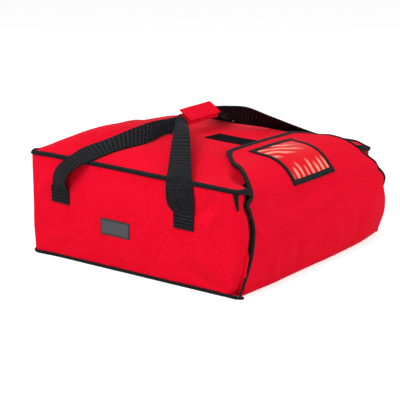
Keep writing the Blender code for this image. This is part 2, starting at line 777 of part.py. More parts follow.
def strap_heading(path, step, side):
    """Which way a strap runs, turned square to its patch and to the grip at its ends."""
    last = len(path) - 1
    before = Vector(path[max(0, step - 1)][:3])
    after = Vector(path[min(last, step + 1)][:3])
    heading = (after - before).normalized()
    heading = heading.lerp(Vector((0.0, 0.0, 1.0)), clamp(1 - step / STRAP_STEPS))
    heading = heading.lerp(Vector((-side, 0.0, 0.0)), clamp(1 - (last - step) / STRAP_STEPS))
    return heading.normalized()


def make_strap(name):
    side = STRAPS[name][0]
    plain = []
    for middle, width_way, half_width, half_thick in strap_points(name):
        plain.append((*middle, *width_way.normalized(), half_width, half_thick))
    path = smooth_path(plain, STRAP_STEPS)
    rings = []
    for k, step in enumerate(path):
        middle = Vector(step[:3])
        forward = strap_heading(path, k, side)
        width_way = Vector(step[3:6])
        width_way = (width_way - forward * width_way.dot(forward)).normalized()
        thick_way = forward.cross(width_way)
        w = width_way * step[6]
        t = thick_way * step[7]
        rings.append([middle + w + t, middle + w - t, middle - w - t, middle - w + t])
    bar("strap_" + name, rings, BLACK_WEBBING)


def centre_on_footprint():
    """Puts the middle of the whole bag's box over the origin."""
    corners = [vertex.co for item in bpy.data.objects for vertex in item.data.vertices]
    low_x = min(corner.x for corner in corners)
    high_x = max(corner.x for corner in corners)
    low_y = min(corner.y for corner in corners)
    high_y = max(corner.y for corner in corners)
    shift = Vector((-(low_x + high_x) / 2, -(low_y + high_y) / 2, 0.0))
    for item in bpy.data.objects:
        for vertex in item.data.vertices:
            vertex.co += shift
    return shift


def turn_about(point, names):
    """Gives pieces that move together their origin on the line they turn about."""
    for name in names:
        item = bpy.data.objects[name]
        for vertex in item.data.vertices:
            vertex.co -= point
        item.location = point
    print(names[0], "turns about", [round(value, 6) for value in point])


def flap_axis():
    """The line that the flap's top part turns about, just outside its bend."""
    y, z, out_y, out_z = flap_profile(FLAP_HINGE)
    out = max(flap_bulge(flap_half(FLAP_HINGE), FLAP_HINGE), 0.0) + FLAP_LIP
    return y + out_y * out, z + out_z * out


def main():
    clear_scene()
    make_base()
    make_side("left", -1)
    make_side("right", 1)
    make_back()
    make_top()
    make_seams()
    make_mouth()
    make_side_trim()
    make_loop_strip()
    make_flap_front()
    make_flap_top()
    make_pocket()
    make_grip()
    for name in STRAPS:
        make_strap(name)

    shift = centre_on_footprint()
    hinge_y, hinge_z = flap_axis()
    turn_about(Vector((0.0, -DEPTH / 2 - BASE_BOW - FLAP_LIP, 0.0)) + shift, FLAP_FRONT_PIECES)
    turn_about(Vector((0.0, hinge_y, hinge_z)) + shift, FLAP_TOP_PIECES)
    turn_about(grip_point(0.0, 0.0, 0.0) + shift, GRIP_PIECES)
    fold = grip_point(0.0, -SLEEVE_WIDTH / 2, SLEEVE_THICK / 2 + 3 * GAP + 2 * STRIP)
    turn_about(fold + shift, GRIP_FLAP_PIECES)


main()
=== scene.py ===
# %% [markdown]
# # A soft bag for carrying pizza boxes
# The real bag is sewn from red nylon over foam, bound with black tape, and carried by two
# webbing straps. The solid model gives every panel its place. This script gives them cloth,
# sag, folds and stitches. It starts by loading the solid model, which is never changed.

from math import atan2, cos, exp, hypot, pi, radians, sin

import bmesh
import bpy
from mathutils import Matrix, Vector, noise


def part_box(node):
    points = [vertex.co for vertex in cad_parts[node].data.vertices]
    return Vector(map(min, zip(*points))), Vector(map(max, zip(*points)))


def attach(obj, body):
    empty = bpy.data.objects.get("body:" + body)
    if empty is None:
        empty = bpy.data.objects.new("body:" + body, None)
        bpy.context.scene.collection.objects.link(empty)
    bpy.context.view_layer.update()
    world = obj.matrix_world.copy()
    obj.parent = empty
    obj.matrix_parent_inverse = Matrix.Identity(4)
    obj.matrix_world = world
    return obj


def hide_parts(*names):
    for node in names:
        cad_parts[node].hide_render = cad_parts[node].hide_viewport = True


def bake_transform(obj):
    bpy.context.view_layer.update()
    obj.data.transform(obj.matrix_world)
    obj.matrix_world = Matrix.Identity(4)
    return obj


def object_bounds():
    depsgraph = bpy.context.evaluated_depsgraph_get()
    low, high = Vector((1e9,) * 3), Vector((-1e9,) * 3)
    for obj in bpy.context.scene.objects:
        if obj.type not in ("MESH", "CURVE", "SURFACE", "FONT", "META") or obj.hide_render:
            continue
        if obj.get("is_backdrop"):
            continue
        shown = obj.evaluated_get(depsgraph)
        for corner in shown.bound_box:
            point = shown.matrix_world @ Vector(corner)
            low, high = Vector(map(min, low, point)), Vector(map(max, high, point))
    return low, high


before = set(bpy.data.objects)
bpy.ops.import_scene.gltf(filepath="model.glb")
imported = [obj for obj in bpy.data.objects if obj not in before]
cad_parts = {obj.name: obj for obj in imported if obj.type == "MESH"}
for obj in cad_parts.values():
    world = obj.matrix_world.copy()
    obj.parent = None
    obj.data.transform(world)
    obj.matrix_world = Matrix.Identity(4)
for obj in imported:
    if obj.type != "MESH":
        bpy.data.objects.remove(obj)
solid_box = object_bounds()
print("solid model's box", [round(value, 4) for corner in solid_box for value in corner])

# %% [markdown]
# ## The camera
# The photograph was taken from the bag's front left corner, a little above it, with a long
# lens. A camera could be moved by hand until the picture fits. Here it is placed by its turn
# and its height above the table as seen from the bag, because those are easy to check.

# %% The camera
AIM = Vector((-0.029, 0.0113, 0.088))
VIEW_TURN = -55.08
VIEW_RISE = 15.81
VIEW_AWAY = 2.308
LENS_LENGTH = 108.0
SENSOR_WIDTH = 36.0


def place_round(made, turn, rise, away):
    """Puts a camera or a lamp at a turn and a rise, in degrees, and points it at the bag."""
    turn, rise = radians(turn), radians(rise)
    way = Vector((sin(turn) * cos(rise), -cos(turn) * cos(rise), sin(rise)))
    made.location = AIM + way * away
    made.rotation_mode = "QUATERNION"
    made.rotation_quaternion = (-way).to_track_quat("-Z", "Y")
    bpy.context.scene.collection.objects.link(made)


lens = bpy.data.cameras.new("camera")
lens.lens = LENS_LENGTH
lens.sensor_width = SENSOR_WIDTH
camera = bpy.data.objects.new("camera", lens)
place_round(camera, VIEW_TURN, VIEW_RISE, VIEW_AWAY)
bpy.context.scene.camera = camera
print("camera at", [round(value, 3) for value in camera.location])

# %% [markdown]
# ## Shader maths
# A pattern such as a weave is a sum of waves, and each wave is a chain of Math nodes. Wiring
# those by hand is slow to read. This small class wraps a node's socket, so that an ordinary
# Python expression adds the nodes. Colours and vectors have their own kinds of node, because
# a Math node turns a colour grey.

# %% A socket that takes arithmetic
class Wire:
    """A number in a shader: arithmetic on it adds Math nodes."""

    def __init__(self, nodes, socket):
        self.nodes = nodes
        self.socket = socket

    def math(self, operation, *others):
        values = [self, *others]
        return self.nodes.node("ShaderNodeMath", {"operation": operation}, values)

    def __add__(self, other):
        return self.math("ADD", other)

    def __mul__(self, other):
        return self.math("MULTIPLY", other)

    def __sub__(self, other):
        return self.math("SUBTRACT", other)

    def __gt__(self, other):
        return self.math("GREATER_THAN", other)

    def __lt__(self, other):
        return self.math("LESS_THAN", other)

    __radd__ = __add__
    __rmul__ = __mul__

    def wave(self, length):
        """From 0 to 1 and back over each length."""
        return (self * (2 * pi / length)).math("SINE") * 0.5 + 0.5

    def over(self, low, high):
        """0 below low, 1 above high, smooth between."""
        settings = {"interpolation_type": "SMOOTHSTEP"}
        links = {"Value": self, "From Min": low, "From Max": high}
        return self.nodes.node("ShaderNodeMapRange", settings, links)


class Nodes:
    """A node tree, with short ways to add nodes to it."""

    def __init__(self, tree):
        self.tree = tree

    def node(self, kind, settings=None, links=None, output=0):
        made = self.tree.nodes.new(kind)
        for key, value in (settings or {}).items():
            setattr(made, key, value)
        pairs = links.items() if isinstance(links, dict) else enumerate(links or [])
        for key, value in pairs:
            self.feed(made.inputs[key], value)
        return Wire(self, made.outputs[output])

    def feed(self, socket, value):
        if isinstance(value, Wire):
            self.tree.links.new(value.socket, socket)
        else:
            socket.default_value = value

    def place(self, kind="Object"):
        """The point being shaded: on the object, or on the piece's own cloth as UV in metres."""
        return self.node("ShaderNodeTexCoord", output=kind)

    def parts(self, point):
        made = self.tree.nodes.new("ShaderNodeSeparateXYZ")
        self.feed(made.inputs[0], point)
        return [Wire(self, made.outputs[k]) for k in range(3)]

    def cloud(self, point, scale, detail=2.0):
        """Soft noise from 0 to 1."""
        links = {"Vector": point, "Scale": scale, "Detail": detail}
        return self.node("ShaderNodeTexNoise", links=links)

    def blend(self, share, first, second):
        """A colour between two colours."""
        links = {0: share, 6: first, 7: second}
        return self.node("ShaderNodeMix", {"data_type": "RGBA"}, links, output=2)

    def bump(self, height, distance, strength=1.0):
        links = {"Height": height, "Distance": distance, "Strength": strength}
        return self.node("ShaderNodeBump", links=links)

    def seen(self):
        """1 for rays from the camera, a shiny face or the clear film, 0 for rays that light."""
        kinds = ("Is Camera Ray", "Is Glossy Ray", "Is Transmission Ray")
        camera, glossy, clear = (self.node("ShaderNodeLightPath", output=kind) for kind in kinds)
        return camera.math("MAXIMUM", glossy).math("MAXIMUM", clear)


class Finish(Nodes):
    """A material and the nodes it is made of."""

    def __init__(self, name):
        self.material = bpy.data.materials.new(name)
        self.material.use_nodes = True
        super().__init__(self.material.node_tree)
        self.shader = self.tree.nodes["Principled BSDF"]

    def set(self, **values):
        for key, value in values.items():
            self.feed(self.shader.inputs[key.replace("_", " ")], value)
        return self


def colour(red, green, blue):
    return (red, green, blue, 1.0)


print("shader maths ready")

# %% [markdown]
# ## Red nylon
# The outer cloth is a coated plain weave. From a metre or two away it is an even, saturated
# red that turns a little lighter where the threads catch light and a little darker in its
# hollows. An image of cloth would do, but waves along the cloth's own UV stay sharp at any
# distance. The UV of every piece is in metres, so one wave length fits them all.

# %% Red nylon
THREAD = 0.0022


def red_nylon():
    made = Finish("red_nylon")
    along, across, _ = made.parts(made.place("UV"))
    warp = (along + across).wave(THREAD)
    weft = (along - across).wave(THREAD)
    threads = warp * weft
    fine = made.cloud(made.place(), 320.0, 1.0)
    broad = made.cloud(made.place(), 16.0, 3.0)
    tone = threads * 0.20 + fine.over(0.30, 0.70) * 0.40 + broad * 0.40
    base = made.blend(tone, colour(0.71, 0.0018, 0.013), colour(0.99, 0.0080, 0.038))
    made.set(Base_Color=base, Roughness=0.55 + 0.16 * fine)
    made.set(Sheen_Weight=0.07, Sheen_Roughness=0.30, Sheen_Tint=colour(1.0, 0.50, 0.52))
    made.set(Specular_IOR_Level=0.01)
    made.set(Normal=made.bump(threads * 0.5 + fine * 0.5, 0.00045, 0.7))
    return made.material


RED = red_nylon()
print("finish", RED.name)

# %% [markdown]
# ## Black tape, webbing and strips
# Binding tape is a thin ribbed ribbon, webbing is a thick one with ribs across it and firm
# edges, and the hook and loop strips are matt and fuzzy. All are nearly black, so what tells
# them apart is the size of the ribs and how they catch the light. A row of stitches is a
# dashed line at a fixed distance from the tape's edge, so it is drawn in the same UV.

# %% Black tape and webbing
STITCH_THICK = 0.0009
STITCH_LENGTH = 0.0034


def black_ribs(name, rib, dark, light, rough, stitch_at=None):
    """Ribs across a ribbon, and a row of stitches at a distance from its edge if it is given."""
    made = Finish(name)
    along, across, _ = made.parts(made.place("UV"))
    ribs = along.wave(rib)
    twill = (along + across * 1.4).wave(rib * 1.7)
    fuzz = made.cloud(made.place(), 260.0, 1.0)
    tone = ribs.over(0.25, 0.75) * 0.50 + twill * 0.15 + fuzz.over(0.35, 0.65) * 0.35
    height = tone
    base = made.blend(tone, colour(*dark), colour(*light))
    if stitch_at is not None:
        near = (across - stitch_at).math("ABSOLUTE") < STITCH_THICK / 2
        dashes = along.wave(STITCH_LENGTH) > 0.30
        stitch = near * dashes
        base = made.blend(stitch * 0.55, base, colour(0.060, 0.060, 0.066))
        height = tone + stitch * 1.5
    made.set(Base_Color=base, Roughness=rough + 0.15 * fuzz)
    made.set(Specular_IOR_Level=0.045)
    made.set(Normal=made.bump(height, 0.0003, 0.8))
    return made.material


TAPE = black_ribs("black_tape", 0.0011, (0.005, 0.005, 0.006), (0.018, 0.018, 0.020), 0.55,
                  stitch_at=0.0062)
WEBBING = black_ribs("black_webbing", 0.0060, (0.0002, 0.0003, 0.0005), (0.025, 0.026, 0.030), 0.60)


def black_fuzz():
    made = Finish("black_fuzz")
    fuzz = made.cloud(made.place(), 900.0, 3.0)
    clumps = made.cloud(made.place(), 160.0, 2.0)
    tone = fuzz * 0.6 + clumps * 0.4
    base = made.blend(tone, colour(0.002, 0.002, 0.003), colour(0.010, 0.010, 0.012))
    made.set(Base_Color=base)
    made.set(Roughness=0.85 + 0.1 * fuzz, Specular_IOR_Level=0.02)
    made.set(Normal=made.bump(tone, 0.0008, 1.0))
    return made.material


FUZZ = black_fuzz()
print("finishes", TAPE.name, WEBBING.name, FUZZ.name)

# %% [markdown]
# ## Lining, film and label
# Inside is a grey coated lining that creases finely. The pocket's film is thick clear vinyl, seen
# over red cloth, with the lamps' glare on it painted as pale pink fingers and streaks. The label is
# a plain woven patch, dark with a darker rim.

# %% Lining, film and label
LABEL_LONG = 0.066
LABEL_HIGH = 0.030
LABEL_RIM = 0.0028


def grey_lining():
    made = Finish("grey_lining")
    crinkle = made.cloud(made.place(), 60.0, 4.0)
    fine = made.cloud(made.place(), 500.0, 1.0)
    base = made.blend(crinkle, colour(0.10, 0.10, 0.11), colour(0.17, 0.17, 0.18))
    made.set(Base_Color=base)
    made.set(Roughness=0.38 + 0.25 * crinkle, Specular_IOR_Level=0.45)
    made.set(Normal=made.bump(crinkle * 0.8 + fine * 0.2, 0.0012, 0.6))
    return made.material


def clear_film():
    made = Finish("clear_film")
    rise, along, _ = made.parts(made.place("UV"))
    bend = made.cloud(made.place(), 26.0, 2.0)
    # Painted reflection: pale pink fingers along the bottom and slanting streaks near the top stand
    # for the lamps' glare on the film, which is also made rougher there.
    fingers = (along + bend * 0.010).wave(0.0175).over(0.45, 0.80)
    fingers = fingers * (rise + along.wave(0.041) * 0.012).over(0.034, 0.020)
    streaks = (rise + along * 0.45 + bend * 0.020).wave(0.020).over(0.55, 0.85)
    streaks = streaks * rise.over(0.045, 0.056) * along.over(0.112, 0.070)
    painted_glare = fingers.math("MAXIMUM", streaks)
    base = made.blend(painted_glare, colour(0.82, 0.008, 0.020), colour(0.98, 0.34, 0.24))
    made.set(Base_Color=base, Roughness=0.20 + 0.30 * painted_glare, Specular_IOR_Level=0.015)
    made.set(Normal=made.bump(bend, 0.004, 0.35))
    return made.material


def dark_label():
    made = Finish("dark_label")
    along, across, _ = made.parts(made.place("UV"))
    weave = along.wave(0.0012) * across.wave(0.0009)
    rim_x = (along - LABEL_LONG / 2).math("ABSOLUTE") > LABEL_LONG / 2 - LABEL_RIM
    rim_y = (across - LABEL_HIGH / 2).math("ABSOLUTE") > LABEL_HIGH / 2 - LABEL_RIM
    rim = rim_x.math("MAXIMUM", rim_y)
    base = made.blend(weave, colour(0.050, 0.053, 0.062), colour(0.080, 0.084, 0.095))
    base = made.blend(rim, base, colour(0.014, 0.014, 0.017))
    made.set(Base_Color=base, Roughness=0.6, Specular_IOR_Level=0.35)
    made.set(Normal=made.bump(weave + rim * 1.5, 0.0003, 0.8))
    return made.material


LINING = grey_lining()
FILM = clear_film()
LABEL = dark_label()
print("finishes", LINING.name, FILM.name, LABEL.name)

# %% [markdown]
# ## The bag's sizes
# These are the solid model's own sizes, in metres. The model was centred on its footprint, so
# it stands a little behind the place these sizes give. The back panel shows how far.

# %% Sizes
WIDTH = 0.495
DEPTH = 0.457
HEIGHT = 0.190
GAP = 0.0003
CLOTH = 0.0012
LINING_THICK = 0.0010
WALL = 0.0128
CROWN = 0.026
FULL_CROWN = 0.029
LID_DIP = 0.009
RIGHT_HOLLOW = 0.0065
FRONT_SAG = 0.012
CROWN_Y = 0.045
CROWN_POWER = 2.4
SIDE_BULGE = 0.004
BACK_BULGE = 0.005
EDGE = 0.0063
FRONT_ZONE = 0.100
TOP_SETBACK = 0.028
RIGHT_SETBACK = 0.010
SIDE_BOW = 0.008
BASE_BOW = 0.016
FOOT_LEAN = 0.016
BASE_LIP = 0.003
BACK = DEPTH / 2
FLAP_PAD = 0.0088
FLAP_LINING = 0.0006
FRONT = -DEPTH / 2 + FLAP_PAD + FLAP_LINING + GAP
CORNER = 0.013
ROLL_ZONE = 0.030
ROLL_RADIUS = 0.013
LEDGE = 0.034

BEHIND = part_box("back_outer")[1].y - BACK - BACK_BULGE
SET_BACK = Vector((0.0, BEHIND, 0.0))
print("the model stands", round(BEHIND * 1000, 2), "mm behind these sizes")

# %% [markdown]
# ## How a soft bag settles
# A stuffed bag is never quite square. On the real one the right side has sunk by a centimetre
# or more, the back left corner stands up, and every long edge wavers a little. One field
# in space holds all of this: each piece is modelled on the regular bag and then moved by the
# field at its own place, so tape, patches and cloth that touch still touch. Blender shifts its
# vector noise by a random step at each start, so a seed is set to get the same bag every time.

# %% How a soft bag settles
SEED = 5
noise.seed_set(SEED)
SINK_LEFT_FRONT = 0.0
SINK_LEFT_BACK = 0.006
SINK_RIGHT_FRONT = -0.015
SINK_RIGHT_BACK = -0.009
BACK_BOW = 0.006
CORNER_DROP = 0.009
WAVER = 0.0026
RIPPLE = 0.0008


def clamp(value):
    return min(1.0, max(0.0, value))


def smooth(value):
    t = clamp(value)
    return t * t * (3 - 2 * t)


def mix(low, high, share):
    return low + (high - low) * share


def mound(x, y, wide, long):
    """A soft round swelling about the origin, 1 at its top."""
    return exp(-(x / wide) ** 2 - (y / long) ** 2)


def sink(x, y):
    """How far the top edge stands above or below its regular height."""
    right = clamp(x / WIDTH + 0.5) ** 2.8
    rear = clamp((y - FRONT) / (BACK - FRONT))
    front_side = mix(SINK_LEFT_FRONT, SINK_RIGHT_FRONT, right)
    back_side = mix(SINK_LEFT_BACK, SINK_RIGHT_BACK, right)
    bow = BACK_BOW * (1 - min(1.0, abs(2 * x / WIDTH)) ** 3) * rear
    return mix(front_side, back_side, rear) + bow


def settle(point):
    """Moves a point of the regular bag to its place on the soft one."""
    x, y, z = point
    free = smooth(z / 0.060)
    waver = noise.noise_vector(Vector((x, y, z)) * 9.0)
    ripple = noise.noise_vector(Vector((x + 3.0, y, z)) * 24.0)
    corner = smooth((x - 0.205) / 0.040) * smooth((-0.185 - y) / 0.040)
    corner *= smooth((z - 0.140) / 0.050)
    drop = sink(x, y) * clamp(z / HEIGHT) - CORNER_DROP * corner
    moved = waver * WAVER + ripple * RIPPLE
    side_move = 0.35 + 0.65 * free
    pushed = smooth((-x - 0.120) / 0.120) * smooth((y - 0.170) / 0.055)
    across = x + moved.x * side_move - 0.003 * pushed
    along = y + BEHIND + moved.y * side_move + 0.004 * pushed
    return Vector((across, along, z + drop + moved.z * 0.6 * free))


for x in (-WIDTH / 2, WIDTH / 2):
    print("at x", x, "the top moves by", [round(sink(x, y) * 1000, 1) for y in (FRONT, BACK)], "mm")

# %% [markdown]
# ## Three ways to start a mesh
# Nearly everything on a bag is cloth or tape, so a flat grid is the right start: it is mapped
# to its place and, where it has thickness, extruded first so that the solid is closed. A bead
# of tape is a grid rolled up with its seam welded. The bag's body is a cube's surface.

# %% Panels, rolls and objects
OUTER, INNER, RIM = range(3)


def grid(columns, rows):
    mesh = bmesh.new()
    mesh.loops.layers.uv.new("UVMap")
    bmesh.ops.create_grid(mesh, x_segments=columns, y_segments=rows, size=0.5)
    return mesh


def measure(mesh, cut):
    """Gives a grid its UV in metres. cut is the flat cloth's width and length."""
    uv = mesh.loops.layers.uv.active
    for face in mesh.faces:
        for loop in face.loops:
            u, v = loop.vert.co.x + 0.5, loop.vert.co.y + 0.5
            loop[uv].uv = (v * cut[1], u * cut[0])


def panel(columns, rows, cut, place):
    """A sheet of cloth or a strap. place turns (across, along, inward), each 0 to 1, into a
    point. The faces outside, inside and on the rim have their own material slots."""
    mesh = grid(columns, rows)
    made = bmesh.ops.extrude_face_region(mesh, geom=mesh.faces[:])
    moved = [item for item in made["geom"] if isinstance(item, bmesh.types.BMVert)]
    bmesh.ops.translate(mesh, verts=moved, vec=(0.0, 0.0, -1.0))
    measure(mesh, cut)
    for face in mesh.faces:
        depths = [vertex.co.z for vertex in face.verts]
        flat = INNER if max(depths) < -0.5 else RIM
        face.material_index = OUTER if min(depths) > -0.5 else flat
    for vertex in mesh.verts:
        vertex.co = place(vertex.co.x + 0.5, vertex.co.y + 0.5, -vertex.co.z)
    return mesh


def roll(columns, rows, cut, place, capped=True):
    """A bead or a sleeve. place turns (round, along), each 0 to 1, into a point."""
    mesh = grid(columns, rows)
    measure(mesh, cut)
    for vertex in mesh.verts:
        vertex.co = place((vertex.co.x + 0.5) % 1.0, vertex.co.y + 0.5)
    bmesh.ops.remove_doubles(mesh, verts=mesh.verts[:], dist=0.00001)
    if capped:
        rims = [edge for edge in mesh.edges if edge.is_boundary]
        bmesh.ops.holes_fill(mesh, edges=rims, sides=0)
    return mesh


def show(name, mesh, finishes):
    """Makes the object: normals outwards, smooth shading that stops at sharp edges."""
    bmesh.ops.recalc_face_normals(mesh, faces=mesh.faces[:])
    data = bpy.data.meshes.new(name)
    mesh.to_mesh(data)
    mesh.free()
    for finish in finishes:
        data.materials.append(finish)
    data.shade_smooth()
    data.set_sharp_from_angle(angle=radians(40.0))
    made = bpy.data.objects.new(name, data)
    bpy.context.scene.collection.objects.link(made)
    print(name, len(data.polygons), "faces")
    return made


def thicken(made, thick):
    """Gives a single layer of cloth its thickness, inwards."""
    cloth = made.modifiers.new("cloth", "SOLIDIFY")
    cloth.thickness = thick
    cloth.offset = -1.0


print("mesh starters ready")

# %% [markdown]
# ## The body's shape
# The body is a box whose top is crowned by the stuffing, whose walls bulge, and whose two
# back corners are soft bends because the side and back are one length of cloth. Its front is
# open. Each point of a cube's surface is sent to the matching point of this shape, at any
# depth below the cloth, so the outer cloth and the lining come from the same rule.

# %% The body's shape
ON_FACE = 0.9999
ROLL_END = -0.8


def hump(value, power):
    """1 in the middle, 0 at -1 and at 1, and flatter in the middle for a higher power."""
    return max(0.0, 1 - abs(value) ** power)


def folds(lines, u, v):
    """The height of all folds at a point. Each line is (u0, v0, u1, v1, width, height)."""
    total = 0.0
    for u0, v0, u1, v1, width, height in lines:
        run_u, run_v = u1 - u0, v1 - v0
        length = hypot(run_u, run_v)
        along = ((u - u0) * run_u + (v - v0) * run_v) / length / length
        off = ((u - u0) * run_v - (v - v0) * run_u) / length
        if -0.15 < along < 1.15:
            fade = smooth((along + 0.15) / 0.45) * smooth((1.15 - along) / 0.55)
            total += height * fade * exp(-(off / width) ** 2)
    return total


def front_share(y):
    return clamp((-FRONT_ZONE - y) / (-FRONT_ZONE - FRONT)) ** 2


PRESSED = ((-0.235, 0.125, -0.090, 0.050, 0.042, -0.018),)


def crown(x, y):
    """The lid's swell: gentle at the mouth, full and steep-shouldered towards the back."""
    rear = smooth((y + 0.080) / 0.130)
    full = rear * smooth(0.5 - x / 0.200)
    gentle = hump(x / (WIDTH / 2 - EDGE), CROWN_POWER)
    across = mix(gentle, hump(x / (WIDTH / 2 - 0.002), 4.5), full)
    if y > CROWN_Y:
        back = (y - CROWN_Y) / (BACK - 0.002 - CROWN_Y)
        along = mix(hump(back, CROWN_POWER), hump(back, 6.0), full)
    else:
        along = hump((CROWN_Y - y) / (CROWN_Y - FRONT), CROWN_POWER)
    dip = LID_DIP * mound(x, y + 0.030, 0.130, 0.110)
    hollow = RIGHT_HOLLOW * mound(x - 0.150, y - 0.050, 0.080, 0.090)
    sag = hollow + FRONT_SAG * exp(-((x + 0.175) / 0.035) ** 2) * front_share(y)
    return (mix(CROWN, FULL_CROWN, full) + folds(PRESSED, x, y) - dip) * across * along - sag


def right_share(x):
    """0 over the left third of the bag, 1 near its right side."""
    return smooth((2 * x / WIDTH + 0.4) / 1.2)


def foot_lean(x):
    """How far the right half of the flap's foot, and the base under it, stand out."""
    return FOOT_LEAN * right_share(x)


def setback(x, y):
    """How far the lid's front edge lies back under the flap's bend: not at its corners."""
    under = smooth((0.206 - abs(x)) / 0.034) * mix(0.75, 1.0, hump(2 * x / WIDTH, 2))
    return TOP_SETBACK * under * front_share(y)


def base_bow(x):
    """How far the base's front edge stands out in front of its corners."""
    return BASE_BOW * (1 - (2 * x / WIDTH) ** 2) + foot_lean(x)


def top_height(x, y):
    """The lid's height at a place, found by undoing the setback a little better each time."""
    flat_y = y
    for _ in range(6):
        flat_y = y - setback(x, flat_y)
    return HEIGHT + crown(x, flat_y)


SIDE_FRONT = (
    (0.0, -0.2262), (0.014, -0.2270), (0.046, -0.2350), (0.082, -0.2400), (0.109, -0.2418),
    (0.134, -0.2380), (0.163, -0.2300), (0.188, -0.2290), (0.300, -0.2290),
)


def side_front(z, side=-1):
    """How far forward a side wall reaches at each height: it swells towards the flap."""
    if side > 0:
        return side_front(z) + RIGHT_SETBACK * smooth((z - 0.120) / 0.060)
    for (z0, y0), (z1, y1) in zip(SIDE_FRONT, SIDE_FRONT[1:]):
        if z <= z1:
            share = (z - z0) / (z1 - z0)
            return mix(y0, y1, smooth(share) * 0.5 + share * 0.5)
    return SIDE_FRONT[-1][1]


def plan(across, along, front, depth):
    """Where a point of the square plan lies, from -1 to 1 each way, with soft back corners."""
    half = WIDTH / 2 - depth
    rear = BACK - depth
    x = across * half
    if depth > 0:
        front += 0.008
    if along < ROLL_END:
        y = mix(front, front + ROLL_ZONE, (along + 1) / (ROLL_END + 1))
    else:
        y = mix(front + ROLL_ZONE, rear, (along - ROLL_END) / (1 - ROLL_END))
    radius = max(CORNER - depth, 0.004)
    off_x = max(0.0, abs(x) - (half - radius))
    off_y = max(0.0, y - (rear - radius))
    if off_x > 0 and off_y > 0:
        tight = max(off_x, off_y) / hypot(off_x, off_y)
        x = (half - radius + off_x * tight) * (1 if x > 0 else -1)
        y = rear - radius + off_y * tight
    return x, y


def rolled_edge(share, front):
    """The side wall's front edge seen from above: straight, a soft turn, then the ledge behind
    the flap. Gives the distance in from the wall and the depth, for a share from 0 to 1."""
    reach = share * (ROLL_ZONE - ROLL_RADIUS + ROLL_RADIUS * pi / 2 + LEDGE)
    if reach < ROLL_ZONE - ROLL_RADIUS:
        return 0.0, front + ROLL_ZONE - reach
    reach -= ROLL_ZONE - ROLL_RADIUS
    if reach < ROLL_RADIUS * pi / 2:
        turn = reach / ROLL_RADIUS
        return ROLL_RADIUS * (1 - cos(turn)), front + ROLL_RADIUS * (1 - sin(turn))
    reach -= ROLL_RADIUS * pi / 2
    return ROLL_RADIUS + reach * 0.93, front + reach * 0.37


def lid_front(x):
    return mix(side_front(HEIGHT, x), FRONT, smooth((0.83 - abs(2 * x / WIDTH)) / 0.12))


def roll_share(z):
    """The roll fades out at the lid and at the base, where the wall is sewn flat."""
    return smooth((HEIGHT - z) / 0.007) * smooth(z / 0.018)


def body_at(a, b, c, depth):
    """A point of the body from a point of a cube, its front at b = -1, its top at c = 1."""
    if c > ON_FACE:
        x, y = plan(a, b, lid_front(a * WIDTH / 2), depth)
        return Vector((x, y + setback(x, y), HEIGHT + crown(x, y) - depth))
    if c < -ON_FACE:
        front = mix(side_front(0.0), FRONT, smooth((1 - abs(a)) / 0.04))
        x, y = plan(a, b, front, depth)
        lip = BASE_LIP * smooth((max(abs(a), b) - 0.93) / 0.05)
        return Vector((x, y - base_bow(x) * front_share(y), depth + lip))
    z = mix(depth, HEIGHT - depth, (c + 1) / 2)
    side = 1 if a > 0 else -1
    x, y = plan(a, b, side_front(z, side), depth)
    up = hump((2 * z - HEIGHT) / (HEIGHT - 2 * EDGE), 2)
    side_push = SIDE_BULGE * hump(b, 4) * up * side if abs(a) > ON_FACE else 0.0
    back_push = BACK_BULGE * hump(a, 4) * up if b > ON_FACE else 0.0
    if b < ROLL_END and depth == 0.0:
        inward, turned_y = rolled_edge((ROLL_END - b) / (ROLL_END + 1), side_front(z, side))
        turned = roll_share(z)
        x -= side * inward * turned
        y = mix(y, turned_y, turned)
    return Vector((x + side_push, y + back_push, z))


print("crown over the lid", round(crown(0, CROWN_Y) * 1000, 1), "mm")


# %% [markdown]
# ## Folds
# Cloth that is pulled from a corner or pressed by a strap shows long soft ridges and hollows.
# A cloth simulation makes such folds, but not where the photograph has them. Here each fold
# is a line on the panel with a width and a height, and the panel's points near it are lifted.

# %% Folds
def pucker(distance, along, seed, height=0.0016):
    """Cloth gathers a little where it is sewn: short ridges that leave the seam and fade."""
    fine = noise.noise(Vector((along * 42.0, seed, distance * 6.0)))
    broad = noise.noise(Vector((along * 17.0, seed + 5.0, distance * 4.0)))
    return height * (fine + broad) * smooth(distance / 0.007) * exp(-distance / 0.024)


def side_pucker(y, z):
    return pucker(z, y, 1.0) + pucker(HEIGHT - z, y, 2.0) + pucker(BACK - y, z, 3.0, 0.0010)


LEFT_FOLDS = (
    (-0.205, 0.020, -0.140, 0.075, 0.010, 0.0045),
    (-0.195, 0.010, -0.110, 0.035, 0.010, -0.0039),
    (-0.212, 0.045, -0.175, 0.110, 0.010, -0.0039),
    (-0.205, 0.160, -0.165, 0.105, 0.009, 0.0039),
    (-0.190, 0.172, -0.140, 0.125, 0.008, -0.0033),
    (0.190, 0.030, 0.120, 0.060, 0.012, 0.0036),
    (0.205, 0.110, 0.180, 0.165, 0.010, 0.0033),
)
TOP_FOLDS = (
    (-0.230, -0.190, -0.150, -0.150, 0.012, 0.0044),
    (-0.225, -0.160, -0.140, -0.110, 0.012, -0.0039),
    (0.040, -0.060, 0.110, -0.020, 0.010, 0.0034),
    (0.060, -0.080, 0.150, -0.050, 0.011, -0.0034),
    (-0.060, 0.160, 0.030, 0.185, 0.012, 0.0034),
    (0.120, 0.130, 0.200, 0.170, 0.012, 0.0021),
    (-0.200, 0.140, -0.140, 0.190, 0.012, 0.0018),
)


